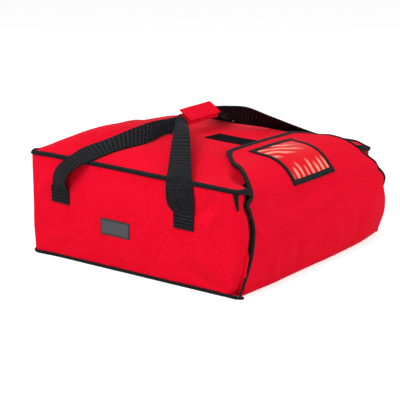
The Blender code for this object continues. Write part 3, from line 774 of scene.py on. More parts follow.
def body_fold(a, b, c, point):
    """How a fold moves a point of the outer cloth."""
    if c > ON_FACE:
        inner = hump(a, 8) * hump(b, 8)
        lift = folds(TOP_FOLDS, point.x, point.y) * inner
        lift += pucker(WIDTH / 2 - abs(point.x), point.y, 7.0 + (point.x > 0))
        lift += pucker(BACK - point.y, point.x, 9.0)
        return Vector((0.0, 0.0, lift))
    if c < -ON_FACE:
        return Vector()
    inner = hump(c, 8)
    if abs(a) > ON_FACE:
        lift = folds(LEFT_FOLDS, point.y * (1 if a < 0 else 0.9), point.z) * inner
        lift += side_pucker(point.y, point.z)
        return Vector((lift * (-1 if a < 0 else 1), 0.0, 0.0))
    lift = folds(LEFT_FOLDS, point.x, point.z) * inner
    lift += pucker(point.z, point.x, 4.0) + pucker(HEIGHT - point.z, point.x, 5.0)
    return Vector((0.0, lift, 0.0))


print(len(LEFT_FOLDS) + len(TOP_FOLDS), "folds on the body")

# %% [markdown]
# ## The body's cloth and lining
# The cube's surface is cut into small squares, closer together near the edges, and its front
# is removed. The same cube, mapped deeper, is the lining. Between them would be the foam,
# which can't be seen, so it isn't made.

# %% The body's cloth and lining
def soft_box(cuts, depth, with_folds):
    """The body's surface at a depth under its cloth, open at the front."""
    mesh = bmesh.new()
    uv = mesh.loops.layers.uv.new("UVMap")
    bmesh.ops.create_cube(mesh, size=2.0)
    bmesh.ops.subdivide_edges(mesh, edges=mesh.edges[:], cuts=cuts, use_grid_fill=True)
    front = [face for face in mesh.faces if all(vertex.co.y < -ON_FACE for vertex in face.verts)]
    bmesh.ops.delete(mesh, geom=front, context="FACES")
    half = (WIDTH / 2, DEPTH / 2, HEIGHT / 2)
    for face in mesh.faces:
        axis = max(range(3), key=lambda k: abs(face.normal[k]))
        u_axis, v_axis = ((1, 2), (0, 2), (0, 1))[axis]
        for loop in face.loops:
            co = loop.vert.co
            loop[uv].uv = (co[u_axis] * half[u_axis], co[v_axis] * half[v_axis])
    for vertex in mesh.verts:
        a, b, c = (value * (1 + 0.25 * (1 - value * value)) for value in vertex.co)
        point = body_at(a, b, c, depth)
        if with_folds:
            point += body_fold(a, b, c, point)
        vertex.co = settle(point)
    return mesh


body = show("body_cloth", soft_box(110, 0.0, True), [RED])
thicken(body, CLOTH)
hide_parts("base_outer", "left_outer", "right_outer", "back_outer", "top_outer",
            "base_foam", "left_foam", "right_foam", "back_foam", "top_foam",
            "mouth_facing_left", "mouth_facing_right")
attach(body, "shell")

lining = soft_box(40, WALL - LINING_THICK, False)
lining = show("body_lining", lining, [LINING])
thicken(lining, LINING_THICK)
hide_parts("base_lining", "left_lining", "right_lining", "back_lining", "top_lining")
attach(lining, "shell")

# %% [markdown]
# ## Bound seams
# Where the top meets the walls, the seam's raw edges stand outwards and a tape is folded over
# them. It reads as a flat black bead, nearly nine millimetres wide, that wavers along the edge.
# Its section is a flattened oval, carried round the border of the body and leaned outwards. At
# the back of the lid it lies nearly flat.

# %% Bound seams
BEAD_HALF = 0.0044
TOP_BEAD_THICK = 0.0021
LOW_BEAD_THICK = 0.0026


def oval(turn):
    """A point on a squarish oval that reaches from -1 to 1 both ways."""
    x, y = cos(turn * 2 * pi), sin(turn * 2 * pi)
    size = (abs(x) ** 3 + abs(y) ** 3) ** (1 / 3)
    return x / size, y / size


def border(share, high):
    """A point on the body's top or bottom border and the outward direction there. The share
    runs from the left front corner round the back to the right front corner."""
    reach = share * 3.0
    if reach < 1:
        a, b, out = -1.0, mix(-1, 1, reach), Vector((-1.0, 0.0, 0.0))
    elif reach < 2:
        a, b, out = mix(-1, 1, reach - 1), 1.0, Vector((0.0, 1.0, 0.0))
    else:
        a, b, out = 1.0, mix(1, -1, reach - 2), Vector((1.0, 0.0, 0.0))
    c = 1.0 if high else -1.0
    corner = clamp(1 - min(abs(reach - 1), abs(reach - 2)) / 0.05)
    if corner > 0:
        side = -1.0 if reach < 1.5 else 1.0
        out = out.lerp(Vector((side, 1.0, 0.0)).normalized(), corner).normalized()
    return body_at(a, b, c, 0.0), out


def bead(share, turn, high):
    """A point on the bead. The bottom one starts a little inside the front corner."""
    point, out = border(share, high)
    sign = 1 if high else -1
    if not high:
        lead = max(0.0, 1 - share / 0.012)
        point += Vector((0.0070 * lead ** 3, -0.0105 * lead, -0.0012 * lead))
    lean = radians(38 + 12 * noise.noise(Vector((share * 14, sign, 0.0))))
    behind = 0.0
    if high:
        behind = smooth((share * 3 - 1.02) / 0.05) * smooth((1.98 - share * 3) / 0.05)
    lean = mix(lean, radians(82), behind)
    flat, proud = oval(turn)
    flat = flat * BEAD_HALF - 0.0004
    proud *= TOP_BEAD_THICK if high else LOW_BEAD_THICK
    away = flat * sin(lean) + proud * cos(lean) - 0.0006
    rise = (proud * sin(lean) - flat * cos(lean)) * sign - 0.0008 * sign
    if not high:
        rise = max(rise - 0.0010, -0.0034)
    return settle(point + out * away + Vector((0.0, 0.0, rise - 0.002 * behind)))


TAPE_FLAT = 0.020
SEAM_LENGTH = 2 * DEPTH + WIDTH

for level, high in (("top", True), ("bottom", False)):
    seam = roll(14, 420, (TAPE_FLAT, SEAM_LENGTH), lambda u, v: bead(v, u, high))
    seam = show("seam_" + level, seam, [TAPE])
    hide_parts(*["seam_" + level + "_" + side for side in ("left", "right", "back")])
    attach(seam, "shell")

# %% [markdown]
# ## The mouth
# The front edge of the lid is bound with the same tape, and the base ends in a plain turned
# rim. Each is a narrow panel that follows the edge. The side walls need none: their cloth
# rolls inwards and makes the ledge that the flap's edges lie on.

# %% The mouth
def mouth_binding(u, v, w):
    x = mix(-1, 1, u) * (WIDTH / 2 - 0.003)
    y = lid_front(x) + mix(-0.0008, 0.0035, w)
    low = mix(0.0062, WALL + 0.0008, smooth((WIDTH / 2 - abs(x)) / 0.060))
    depth = mix(-0.0018, low, v)
    return settle(Vector((x, y + setback(x, y), HEIGHT + crown(x, y) - depth)))


lip = panel(60, 4, (0.487, 0.0145), mouth_binding)
lip = show("mouth_tape", lip, [TAPE])
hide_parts("mouth_binding")
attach(lip, "shell")


def base_rim(u, v, w):
    x = mix(-1, 1, u) * (WIDTH / 2 - 0.022)
    y = FRONT - base_bow(x) + mix(-0.0008, 0.0008, w)
    return settle(Vector((x, y, mix(0.0002, WALL + 0.0006, v))))


rim = panel(50, 3, (0.489, 0.013), base_rim)
rim = show("base_rim", rim, [LINING])
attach(rim, "shell")

# %% [markdown]
# ## The flap's surface
# The flap stands up from the base's front edge, swells over the foam, bends over the lid and
# tapers to its free end. On the real bag its right half leans out much further than its left,
# and the cloth over the bend has sunk there with the lid. A place on the flap is given by x
# and by s, the distance up the cloth from the base.

# %% The flap's surface
CREASE = 0.140
BEND_RADIUS = 0.066
BEND_ANGLE = radians(84.0)
TOP_RUN = 0.0645
SEAT_BLEND = 0.030
PILLOW = 0.012
CORNER_BULGE = 0.006
FLAP_REST = 0.0058
FREE_END_LIFT = 0.008
FLAP_THIN = 0.0025
BEND_END = CREASE + BEND_RADIUS * BEND_ANGLE
FLAP_END = BEND_END + TOP_RUN
LEFT_OUTLINE = (
    (0.0, 0.2435), (0.060, 0.2320), (0.100, 0.2220), (0.118, 0.2155), (0.140, 0.2165),
    (0.156, 0.2265), (0.163, 0.2265), (0.171, 0.2035), (0.198, 0.1890), (0.256, 0.1450),
    (FLAP_END, 0.0965),
)
RIGHT_OUTLINE = (
    (0.0, 0.2370), (0.012, 0.2415), (0.060, 0.2405), (0.088, 0.2450), (0.104, 0.2545),
    (0.116, 0.2605), (0.124, 0.2610), (0.131, 0.2590), (0.140, 0.2530), (0.150, 0.2440),
    (0.158, 0.2330), (0.171, 0.2150), (0.198, 0.2000), (0.256, 0.1700), (FLAP_END, 0.1250),
)
FLAP_FOLDS = (
    (-0.185, 0.088, 0.190, 0.122, 0.0090, -0.0036),
    (-0.175, 0.106, 0.185, 0.140, 0.0100, 0.0030),
    (-0.222, 0.138, -0.192, 0.096, 0.0055, 0.0050),
    (-0.225, 0.126, -0.196, 0.082, 0.0065, -0.0052),
    (-0.190, 0.160, -0.140, 0.164, 0.0070, -0.0044),
    (-0.205, 0.150, -0.150, 0.150, 0.0080, 0.0030),
    (-0.220, 0.110, -0.180, 0.050, 0.0080, 0.0030),
    (-0.160, 0.060, -0.150, 0.012, 0.0090, 0.0028),
    (-0.090, 0.080, -0.085, 0.015, 0.0110, -0.0028),
    (0.030, 0.076, 0.050, 0.018, 0.0130, 0.0026),
    (0.120, 0.090, 0.110, 0.020, 0.0140, -0.0024),
)


def flap_half(s, table):
    """The distance from the middle to the flap's edge at a place up the cloth."""
    for (s0, half0), (s1, half1) in zip(table, table[1:]):
        if s <= s1:
            return mix(half0, half1, (s - s0) / (s1 - s0))
    return table[-1][1]


def flap_lean(x, s):
    """The extra distance that the flap's right half stands out."""
    upward = clamp(s / CREASE)
    swell = 16 + 7 * sin(pi * min(1.0, upward * 1.05)) - 2 * upward ** 6
    corner = exp(-((s - 0.120) / 0.022) ** 2)
    curl = 14 * (1 - 0.55 * corner) * clamp((x - 0.222) / 0.0215) ** 2 * smooth(s / 0.025)
    return 0.001 * (right_share(x) * swell - curl) * smooth((0.178 - s) / 0.046)


def flap_bulge(x, s):
    side = abs(2 * x / WIDTH)
    if s <= CREASE:
        low = BASE_BOW * (1 - side ** 2) * (1 - s / CREASE)
        pillow = PILLOW * sin(pi * s / CREASE) ** 0.8 * (1 - 0.6 * side ** 4)
        return low + pillow + SIDE_BOW * sin(pi * s / HEIGHT)
    t = clamp((s - CREASE) / (BEND_END - CREASE))
    carried = SIDE_BOW * sin(pi * CREASE / HEIGHT) * (1 - smooth(t))
    return carried + CORNER_BULGE * side ** 6 * sin(pi * t)


def flap_at(x, s, depth):
    """A point of the flap, at a depth below its outer face."""
    angle = min(max(0.0, s - CREASE) / BEND_RADIUS, BEND_ANGLE)
    run = max(0.0, s - BEND_END)
    y = -DEPTH / 2 + BEND_RADIUS * (1 - cos(angle)) + run * sin(BEND_ANGLE)
    z = min(s, CREASE) + BEND_RADIUS * sin(angle) + run * cos(BEND_ANGLE)
    out = flap_bulge(x, s) + flap_lean(x, s) - depth
    raised = FREE_END_LIFT * mound(x - 0.180, s - 0.300, 0.060, 0.050)
    seat = smooth((s - BEND_END) / SEAT_BLEND) * (top_height(x, y) + FLAP_REST - z) + raised
    return Vector((x, y - cos(angle) * out, z + sin(angle) * out + seat))


def flap_depth(s):
    return mix(FLAP_PAD, FLAP_THIN, smooth((s - 0.120) / 0.030))


print("flap is", round(FLAP_END * 1000), "mm long")

# %% [markdown]
# ## The flap's padded cloth
# The flap is one sewn piece: cloth outside, lining inside, foam up to the bend. It is modelled
# as one closed panel that gets thinner past the foam, so that it can bend in one piece when
# the flap opens. Its bottom edge is rolled under, its other edges go into the binding. At the
# two bottom corners the outer cloth is turned in over the lining, so the inside is red there.

# %% The flap's padded cloth
FLAP_INSET = 0.0035
HEM_ROUND = 0.007
TURNED_IN_X = 0.2215
TURNED_IN_Z = 0.056


def flap_panel(u, v, w):
    s = v * (FLAP_END - FLAP_INSET)
    left = flap_half(s, LEFT_OUTLINE) - FLAP_INSET
    right = flap_half(s, RIGHT_OUTLINE) - FLAP_INSET
    x = mix(-left, right, u)
    from_edge = min(u, 1 - u) * (left + right)
    low = max(0.0, HEM_ROUND - s)
    hem = HEM_ROUND - (HEM_ROUND ** 2 - low ** 2) ** 0.5
    inner = hump(mix(-1, 1, u), 10)
    lift = folds(FLAP_FOLDS, x, s) * inner
    lift += pucker(from_edge, s, 11.0 + (x > 0)) + pucker(s, x, 13.0)
    if w < 0.5:
        return settle(flap_at(x, s, hem * 0.6 - lift))
    pinched = mix(0.0028, flap_depth(s), smooth(from_edge / 0.020))
    thin = smooth((s - 0.110) / 0.030)
    return settle(flap_at(x, s, max(pinched - hem * 0.4, 0.002) - lift * thin))


flap = panel(140, 110, (0.46, FLAP_END), flap_panel)
flap = show("flap", flap, [RED, LINING, RED])
for face in flap.data.polygons:
    at_corner = abs(face.center.x) > TURNED_IN_X and face.center.z < TURNED_IN_Z
    if face.material_index == INNER and at_corner:
        face.material_index = OUTER
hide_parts("flap_front_outer", "flap_front_foam", "flap_front_lining",
            "flap_top_outer", "flap_top_lining")

# %% [markdown]
# ## The flap's binding
# One length of tape runs up the left edge, round the free end and down the right edge, folded
# over the cloth. Its section is a flat U, filled, since what is inside can't be seen. Its
# corners are mitred by stretching the section where the outline turns. Each point of the
# section is (share of the width inwards, share of the cloth's thickness, distance off it).

# %% The flap's binding
TAPE_WIDE = 0.0078
EDGE_SOFT = 0.006
EDGE_STEP = 0.004
TINY = 1e-7


def outline():
    """The flap's outline as (x, s) points, close together, with soft corners."""
    left = [Vector((-half, s)) for s, half in LEFT_OUTLINE]
    right = [Vector((half, s)) for s, half in reversed(RIGHT_OUTLINE)]
    points = left + right
    for _ in range(3):
        cut = [points[0]]
        for first, second in zip(points, points[1:]):
            reach = min(0.25, EDGE_SOFT / max((second - first).length, TINY))
            cut.append(first.lerp(second, reach))
            cut.append(first.lerp(second, 1 - reach))
        cut.append(points[-1])
        points = cut
    spaced = [points[0]]
    for first, second in zip(points, points[1:]):
        steps = max(1, round((second - first).length / EDGE_STEP))
        spaced += [first.lerp(second, k / steps) for k in range(1, steps + 1)]
    return spaced


def outline_normals(points):
    """The outward direction at each point, longer at corners so that the tape keeps its width."""
    made = []
    for k, point in enumerate(points):
        ahead = (points[min(k + 1, len(points) - 1)] - point)
        behind = (point - points[max(k - 1, 0)])
        ahead = (ahead if ahead.length > TINY else behind).normalized()
        behind = (behind if behind.length > TINY else ahead).normalized()
        middle = (ahead + behind).normalized()
        normal = Vector((-middle.y, middle.x))
        made.append(normal / max(0.6, middle.dot(ahead)))
    return made


FLAP_EDGE = outline()
FLAP_NORMALS = outline_normals(FLAP_EDGE)
TAPE_SECTION = (
    (1.00, 0.0, -0.0002), (0.92, 0.0, -0.0011), (0.55, 0.0, -0.0015), (0.12, 0.0, -0.0012),
    (0.0, 0.0, -0.0004), (0.0, 1.0, 0.0004), (0.12, 1.0, 0.0010), (0.55, 1.0, 0.0012),
    (0.92, 1.0, 0.0009), (1.00, 1.0, 0.0002),
)


def flap_tape(u, v):
    """A point on the tape: it is narrower at its foot and lower left, wider at the free end."""
    k = round(v * (len(FLAP_EDGE) - 1))
    inward, share, off = TAPE_SECTION[round(u * len(TAPE_SECTION)) % len(TAPE_SECTION)]
    x, s = FLAP_EDGE[k]
    near = smooth(-x / 0.10) * smooth((0.150 - s) / 0.030)
    low = 0.42 if x < 0 else 0.25
    slim = mix(low, 1.0 - 0.28 * near, smooth(s / 0.050))
    slim += 0.5 * smooth((s - FLAP_END + 0.020) / 0.015)
    place = FLAP_EDGE[k] - FLAP_NORMALS[k] * inward * TAPE_WIDE * slim
    s = max(place.y, 0.0)
    flat = mix(0.45, 1.0, smooth(s / 0.060))
    return settle(flap_at(place.x, s, (share * 0.0030 + off) * flat))


binding = roll(len(TAPE_SECTION), len(FLAP_EDGE) - 1, (TAPE_FLAT, 0.80), flap_tape)
binding = show("flap_binding", binding, [TAPE])
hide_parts("flap_front_binding_left", "flap_front_binding_right", "flap_top_binding")

# %% [markdown]
# ## The card pocket
# A clear film in a frame of tape is sewn onto the flap where it bends, so it bends too. The
# frame is four strips that meet at mitres. The film bellies out a little between them, ripples
# where it is squeezed, and reaches a little way under them.

# %% The card pocket
POCKET_X = 0.0035
POCKET_WIDTH = 0.145
POCKET_LOW = 0.159
POCKET_HIGH = 0.270
POCKET_BIND = 0.0095
FILM_UNDER = 0.002


def film_at(u, v, w):
    x = POCKET_X + mix(-1, 1, u) * (POCKET_WIDTH / 2 - POCKET_BIND + FILM_UNDER)
    s = mix(POCKET_LOW + POCKET_BIND - FILM_UNDER, POCKET_HIGH - POCKET_BIND + FILM_UNDER, v)
    belly = 0.0012 * hump(mix(-1, 1, u), 2) * hump(mix(-1, 1, v), 2)
    ripple = 0.0005 * sin(u * 38 + 3 * v) * smooth((0.35 - v) / 0.3) * hump(mix(-1, 1, u), 6)
    return settle(flap_at(x, s, mix(-0.0010, -0.0004, w) - belly - ripple))


film = panel(44, 40, (0.130, 0.092), film_at)
film = show("pocket_film", film, [FILM])
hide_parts("pocket_window_front", "pocket_window_top")


def frame_strip(corner_a, corner_b, in_a, in_b):
    """One strip of the frame between two outer corners, with its inner corners given."""
    def place(u, v, w):
        outer = corner_a.lerp(corner_b, v)
        inner = in_a.lerp(in_b, v)
        spot = outer.lerp(inner, u)
        domed = 0.0006 * hump(mix(-1, 1, u), 4)
        return settle(flap_at(spot.x, spot.y, mix(-0.0018 - domed, -0.0002, w)))
    return place


def pocket_corners(inset):
    """The corners of a rectangle inside the pocket's outline, from the lower left one on."""
    left, right = POCKET_X - POCKET_WIDTH / 2 + inset, POCKET_X + POCKET_WIDTH / 2 - inset
    low, high = POCKET_LOW + inset, POCKET_HIGH - inset
    return [Vector(spot) for spot in ((left, low), (right, low), (right, high), (left, high))]


outer, inner = pocket_corners(0.0), pocket_corners(POCKET_BIND)
pocket_parts = []
for k, name in enumerate(("low", "right", "high", "left")):
    n = (k + 1) % 4
    place = frame_strip(outer[k], outer[n], inner[k], inner[n])
    strip = panel(4, 36, (POCKET_BIND, (outer[n] - outer[k]).length), place)
    strip = show("pocket_tape_" + name, strip, [TAPE])
    pocket_parts.append(strip)
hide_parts("pocket_frame_front")
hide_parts("pocket_frame_top")

# %% [markdown]
# ## Where the flap bends
# When the flap opens, its lower part turns about the base and its upper part about the lid's edge,
# and everything sewn to it must bend with it. Here only the two ends of the bend, up the flap's
# middle, are found, and the flap and the pieces sewn to it are baked in place.

# %% Where the flap bends
BEND_FROM = 0.176
BEND_TO = 0.236
BEND_START = flap_at(0.0, BEND_FROM, 0.0) + SET_BACK
BEND_STOP = flap_at(0.0, BEND_TO, 0.0) + SET_BACK
for piece in [flap, binding, film, *pocket_parts]:
    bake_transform(piece)

for word, place in (("from", BEND_START), ("to", BEND_STOP)):
    print("the bend runs", word, [round(value, 3) for value in place])

# %% [markdown]
# ## The sewn fold at the base
# Inside, the flap's lining runs on into the base's lining. A strip that runs from the shell at one
# edge to the flap at the other closes the corner between them.

# %% The sewn fold at the base
FOLD_REACH = 0.024


def fold_strip(u, v, w):
    x = mix(-1, 1, u) * (WIDTH / 2 - 0.0095)
    lip = FRONT - base_bow(x)
    rear = Vector((x, lip + 0.010, WALL + 0.0005))
    edge = Vector((x, lip + 0.0005, WALL + 0.0009))
    front = flap_at(x, FOLD_REACH, FLAP_PAD + FLAP_LINING)
    spot = rear.lerp(edge, v / 0.4) if v < 0.4 else edge.lerp(front, (v - 0.4) / 0.6)
    return settle(spot + Vector((0.0, 0.0, mix(0.0006, 0.0, w))))


gusset = panel(40, 10, (0.465, 0.022), fold_strip)
gusset = show("flap_fold", gusset, [LINING])
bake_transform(gusset)

# %% [markdown]
# ## Patches, label, tails and the loop strip
# These are flat pieces sewn onto the body. Each is a small panel laid on the side wall or the
# lid, just proud of the cloth. The patches and the label have a slightly domed middle. At each
# front corner the wall's cloth also shows a raw edge that the seam has gathered.

# %% Patches, label, tails and the loop strip
PATCH_LOW = 0.106
PATCH_HEIGHT = 0.029
PATCH_WIDTH = 0.042
PATCH_THICK = 0.0028
FRONT_PATCH_Y = -0.1225
BACK_PATCH_Y = 0.158
LABEL_Y = 0.030
LABEL_Z = 0.080
LABEL_THICK = 0.0010
SIDES = (("left", -1), ("right", 1))


def side_cloth(side, y, z, depth):
    """A point at a depth under a side wall's cloth, its folds included."""
    front = side_front(z, side)
    b = -1 + (ROLL_END + 1) * (y - front) / ROLL_ZONE
    if b > ROLL_END:
        b = ROLL_END + (1 - ROLL_END) * (y - front - ROLL_ZONE) / (BACK - front - ROLL_ZONE)
    up = hump((2 * z - HEIGHT) / (HEIGHT - 2 * EDGE), 2)
    lift = folds(LEFT_FOLDS, y * (1 if side < 0 else 0.9), z) * hump(2 * z / HEIGHT - 1, 8)
    lift += side_pucker(y, z)
    near = clamp((y - front) / ROLL_RADIUS)
    inward = ROLL_RADIUS * (1 - (1 - (1 - near) ** 2) ** 0.5) * roll_share(z)
    return Vector((side * (WIDTH / 2 + SIDE_BULGE * hump(b, 4) * up + lift - inward - depth), y, z))


def on_side(side, y, z, wide, tall, thick):
    """A small panel sewn onto a side wall, with its middle at a place on it."""
    def place(u, v, w):
        across, up = y + mix(-wide, wide, u) / 2, z + mix(-tall, tall, v) / 2
        domed = 0.0004 * hump(mix(-1, 1, u), 6) * hump(mix(-1, 1, v), 6)
        depth = mix(-GAP - thick - domed, 0.0006, w)
        return settle(side_cloth(side, across, up, depth))
    return place


PATCH_MIDDLE = PATCH_LOW + PATCH_HEIGHT / 2

for side_name, side in SIDES:
    for end_name, y in (("front_", FRONT_PATCH_Y), ("back_", BACK_PATCH_Y)):
        name = end_name + side_name
        place = on_side(side, y, PATCH_MIDDLE, PATCH_WIDTH, PATCH_HEIGHT, PATCH_THICK)
        patch = panel(10, 8, (PATCH_WIDTH, PATCH_HEIGHT), place)
        patch = show("strap_sewn_" + name, patch, [WEBBING])
        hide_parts("strap_patch_" + name)
        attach(patch, "shell")

place = on_side(-1, LABEL_Y, LABEL_Z, LABEL_LONG, LABEL_HIGH, LABEL_THICK)
label = panel(16, 8, (LABEL_LONG, LABEL_HIGH), place)
uv = label.loops.layers.uv.active
for face in label.faces:
    for loop in face.loops:
        loop[uv].uv = loop[uv].uv.yx
label = show("label", label, [LABEL])
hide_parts("label_patch")
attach(label, "shell")

# %% Tape ends and gathered edges
def tail(side):
    """The tape's pointed end, hanging from the lid's front corner."""
    def place(u, v, w):
        z = mix(HEIGHT - 0.003, HEIGHT - 0.034, v)
        wide = mix(0.0058, 0.0016, v ** 1.2)
        y = side_front(z, side) + 0.0018 + wide * u
        return settle(side_cloth(side, y, z, mix(-0.0026, 0.0004, w)))
    return place


for name, side in SIDES:
    end = panel(4, 10, (0.009, 0.036), tail(side))
    end = show("seam_end_" + name, end, [TAPE])
    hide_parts("seam_tail_" + name)
    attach(end, "shell")


def ruffle(side):
    """The raw edge of the wall's cloth, gathered by the seam at the front corner."""
    def place(u, v, w):
        z = mix(0.004, 0.104, v)
        wave = noise.noise(Vector((z * 130.0, side, u * 0.6))) * 0.0016 * (0.3 + u)
        long = 0.0095 + 0.0058 * smooth((0.35 - v) / 0.25)
        long *= smooth(v / 0.05) * smooth((1 - v) / 0.35)
        x = WIDTH / 2 - 0.012 + wave + mix(0.0005, -0.0005, w)
        return settle(Vector((side * x, side_front(z, side) + 0.004 - long * u, z)))
    return place


for name, side in SIDES:
    gathered = panel(6, 64, (0.014, 0.100), ruffle(side))
    gathered = show("gathered_edge_" + name, gathered, [RED])
    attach(gathered, "shell")

# %% The closing strips
STRIP_WIDE = 0.050
LOOP_LONG = 0.157
LOOP_BACK = -0.008
HOOK_FRONT = 0.060
HOOK_BACK = 0.009


def loop_strip(u, v, w):
    x = mix(-STRIP_WIDE, STRIP_WIDE, u) / 2
    y = mix(LOOP_BACK - LOOP_LONG, LOOP_BACK, v)
    z = HEIGHT + crown(x, y) + folds(TOP_FOLDS, x, y) + mix(0.0016, -0.0004, w)
    return settle(Vector((x, y + setback(x, y), z)))


strip = panel(10, 30, (STRIP_WIDE, LOOP_LONG), loop_strip)
strip = show("lid_loop_strip", strip, [FUZZ])
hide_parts("loop_strip")
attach(strip, "shell")


def hook_strip(u, v, w):
    x = mix(-STRIP_WIDE, STRIP_WIDE, u) / 2
    s = mix(FLAP_END - HOOK_FRONT, FLAP_END - HOOK_BACK, v)
    return settle(flap_at(x, s, FLAP_THIN + mix(0.0013, -0.0002, w)))


hook = panel(10, 12, (STRIP_WIDE, HOOK_FRONT - HOOK_BACK), hook_strip)
hook = show("flap_hooks", hook, [FUZZ])
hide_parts("flap_hook_strip")
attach(hook, "flap_top")

# %% [markdown]
# ## The grip
# The two straps meet in the middle and a padded sleeve of red cloth is wrapped round them and
# closed by a flap with hook and loop. It is tilted forwards. Its sleeve is a rolled grid with
# a soft rounded section, and its flap is a panel, slightly domed, laid over the sleeve.

# %% The grip
GRIP_X = 0.0135
GRIP_Y = 0.0336
GRIP_Z = 0.2422
GRIP_TILT = radians(35.3)
GRIP_LENGTH = 0.100
SLEEVE_WIDTH = 0.0278
SLEEVE_THICK = 0.0125
SLEEVE_ROUND = 0.073
CLOSING_LONG = 0.094
CLOSING_WIDE = 0.016
LOOP_THICK = 0.0014
HOOK_THICK = 0.0009
COVER_THICK = 0.0020
COVER_OVERHANG = 0.004
FOLDED_HALF = 0.012
FOLDED_THICK = 0.0042
FOLDED_OFF = 0.00225


def grip_at(x, along, out):
    """A place on the tilted grip: along its width and out of its upper face."""
    y = GRIP_Y + along * cos(GRIP_TILT) - out * sin(GRIP_TILT)
    z = GRIP_Z + along * sin(GRIP_TILT) + out * cos(GRIP_TILT)
    return Vector((GRIP_X + x, y + BEHIND, z))


def sleeve(u, v):
    angle = u * 2 * pi
    x = mix(-1, 1, v) * GRIP_LENGTH / 2
    along, out = oval(u)
    crease = 0.0005 * noise.noise(Vector((x * 60, cos(angle) * 2, sin(angle) * 2)))
    return grip_at(x, along * (SLEEVE_WIDTH / 2 + crease), out * (SLEEVE_THICK / 2 + crease))


wrap = roll(28, 40, (SLEEVE_ROUND, GRIP_LENGTH), sleeve, capped=False)
wrap = show("grip_sleeve", wrap, [RED])
thicken(wrap, CLOTH)
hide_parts("grip_wrap")
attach(wrap, "grip")


def grip_pad(low, high, base, thick, long):
    """A flat piece on the sleeve: its two sides, its underside, its thickness and length."""
    def place(u, v, w):
        x = mix(-1, 1, u) * long / 2
        along = mix(low, high, v)
        sag = 0.0008 * noise.noise(Vector((x * 40, along * 60, base * 90)))
        domed = 0.0008 * hump(mix(-1, 1, v), 4)
        return grip_at(x, along, base + mix(thick + domed + sag, 0.0, w))
    return place


top = SLEEVE_THICK / 2
half = CLOSING_WIDE / 2
place = grip_pad(-half, half, top - 0.0006, LOOP_THICK, CLOSING_LONG)
loops = panel(20, 6, (CLOSING_LONG, CLOSING_WIDE), place)
loops = show("grip_loops", loops, [FUZZ])
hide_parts("grip_loop_strip")
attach(loops, "grip")
place = grip_pad(-half, half, top + 0.0016, HOOK_THICK, CLOSING_LONG)
hooks = panel(20, 6, (CLOSING_LONG, CLOSING_WIDE), place)
hooks = show("grip_hooks", hooks, [FUZZ])
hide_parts("grip_hook_strip")
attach(hooks, "grip_flap")
near, far = -SLEEVE_WIDTH / 2, SLEEVE_WIDTH / 2 + COVER_OVERHANG
place = grip_pad(near, far, top + 0.0032, COVER_THICK, GRIP_LENGTH)
cover = panel(40, 16, (GRIP_LENGTH, far - near), place)
cover = show("grip_cover", cover, [RED])
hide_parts("grip_flap")
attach(cover, "grip_flap")


def inner_strap(level):
    """The folded webbing inside the sleeve: the front strap's lies over the back strap's."""
    def place(u, v, w):
        x = mix(-1, 1, v) * (GRIP_LENGTH / 2 + 0.004)
        out = level * FOLDED_OFF + mix(1, -1, w) * FOLDED_THICK / 2
        return grip_at(x, mix(-1, 1, u) * FOLDED_HALF, out)
    return place


for name, level in (("front", 1), ("back", -1)):
    middle = panel(8, 12, (2 * FOLDED_HALF, GRIP_LENGTH + 0.008), inner_strap(level))
    middle = show("strap_middle_" + name, middle, [WEBBING])
    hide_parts("strap_" + name + "_middle")
    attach(middle, "grip")

# %% [markdown]
# ## The straps
# Webbing doesn't stretch, so each strap end rises slack from its patch, turns over the lid's
# edge, leans on the lid and narrows as it folds into the grip. Each is a thick panel. Its
# middle and its half width, an arrow, are given in millimetres at a few stations measured on
# the regular bag, with a smooth line between.

# %% The straps
WEB_WIDTH = 0.047
WEB_THICK = 0.0024
OVER_LID = 0.0022
STATIONS = {
    "front_left": (
        ((-252, -122, 134), (0, 21, 0)),
        ((-259, -121, 152), (-6, 23, -2)),
        ((-261, -119, 170), (-9, 22, -1)),
        ((-252, -112, 192), (-6, 23, -2)),
        ((-229, -97, 203), (-3, 23, -2)),
        ((-175, -60, 219), (1, 23, -3)),
        ((-105, -12, 240), (5, 21, -4)),
        ((-70, 13, 243), (0, 15, 2)),
    ),
    "back_left": (
        ((-252, 158, 134), (0, 21, 0)),
        ((-257, 156, 148), (8, 22, -3)),
        ((-260, 150, 163), (9, 22, 0)),
        ((-262, 136, 180), (9, 22, 1)),
        ((-249, 115, 197), (10, 21, 4)),
        ((-229, 103, 206), (9, 21, 6)),
        ((-191, 83, 215), (14, 17, 9)),
        ((-150, 64, 223), (14, 11, 16)),
        ((-112, 49, 229), (10, 5, 20)),
        ((-77, 47, 231), (9, 5, 16)),
    ),
    "front_right": (
        ((252, -122, 122), (0, 21, 0)),
        ((258, -121, 140), (2, 22, 0)),
        ((260, -117, 163), (4, 22, 0)),
        ((250, -109, 175), (7, 22, -3)),
        ((232, -95, 183), (15, 17, -5)),
        ((192, -63, 199), (14, 15, -10)),
        ((154, -33, 215), (12, 12, -15)),
        ((120, -7, 229), (9, 8, -19)),
        ((92, 16, 237), (8, 5, -15)),
    ),
    "back_right": (
        ((252, 158, 126), (0, 21, 0)),
        ((257, 156, 144), (-2, 22, 0)),
        ((259, 148, 164), (-4, 22, 0)),
        ((250, 132, 187), (-10, 20, 1)),
        ((228, 112, 198), (-14, 18, 3)),
        ((180, 88, 207), (-14, 18, 5)),
        ((130, 64, 219), (-10, 18, 8)),
        ((92, 45, 232), (-4, 14, 8)),
    ),
}

def lid_top(x, y):
    """The lowest height for webbing that lies on the lid."""
    return top_height(x, y) + sink(x, y) + OVER_LID


def lift_to_lid(spot):
    """How far a point of the webbing has to rise to lie on the lid. Beside it, not at all."""
    if abs(spot.x) > WIDTH / 2 - 0.004:
        return 0.0
    return max(0.0, lid_top(spot.x, spot.y) - spot.z)


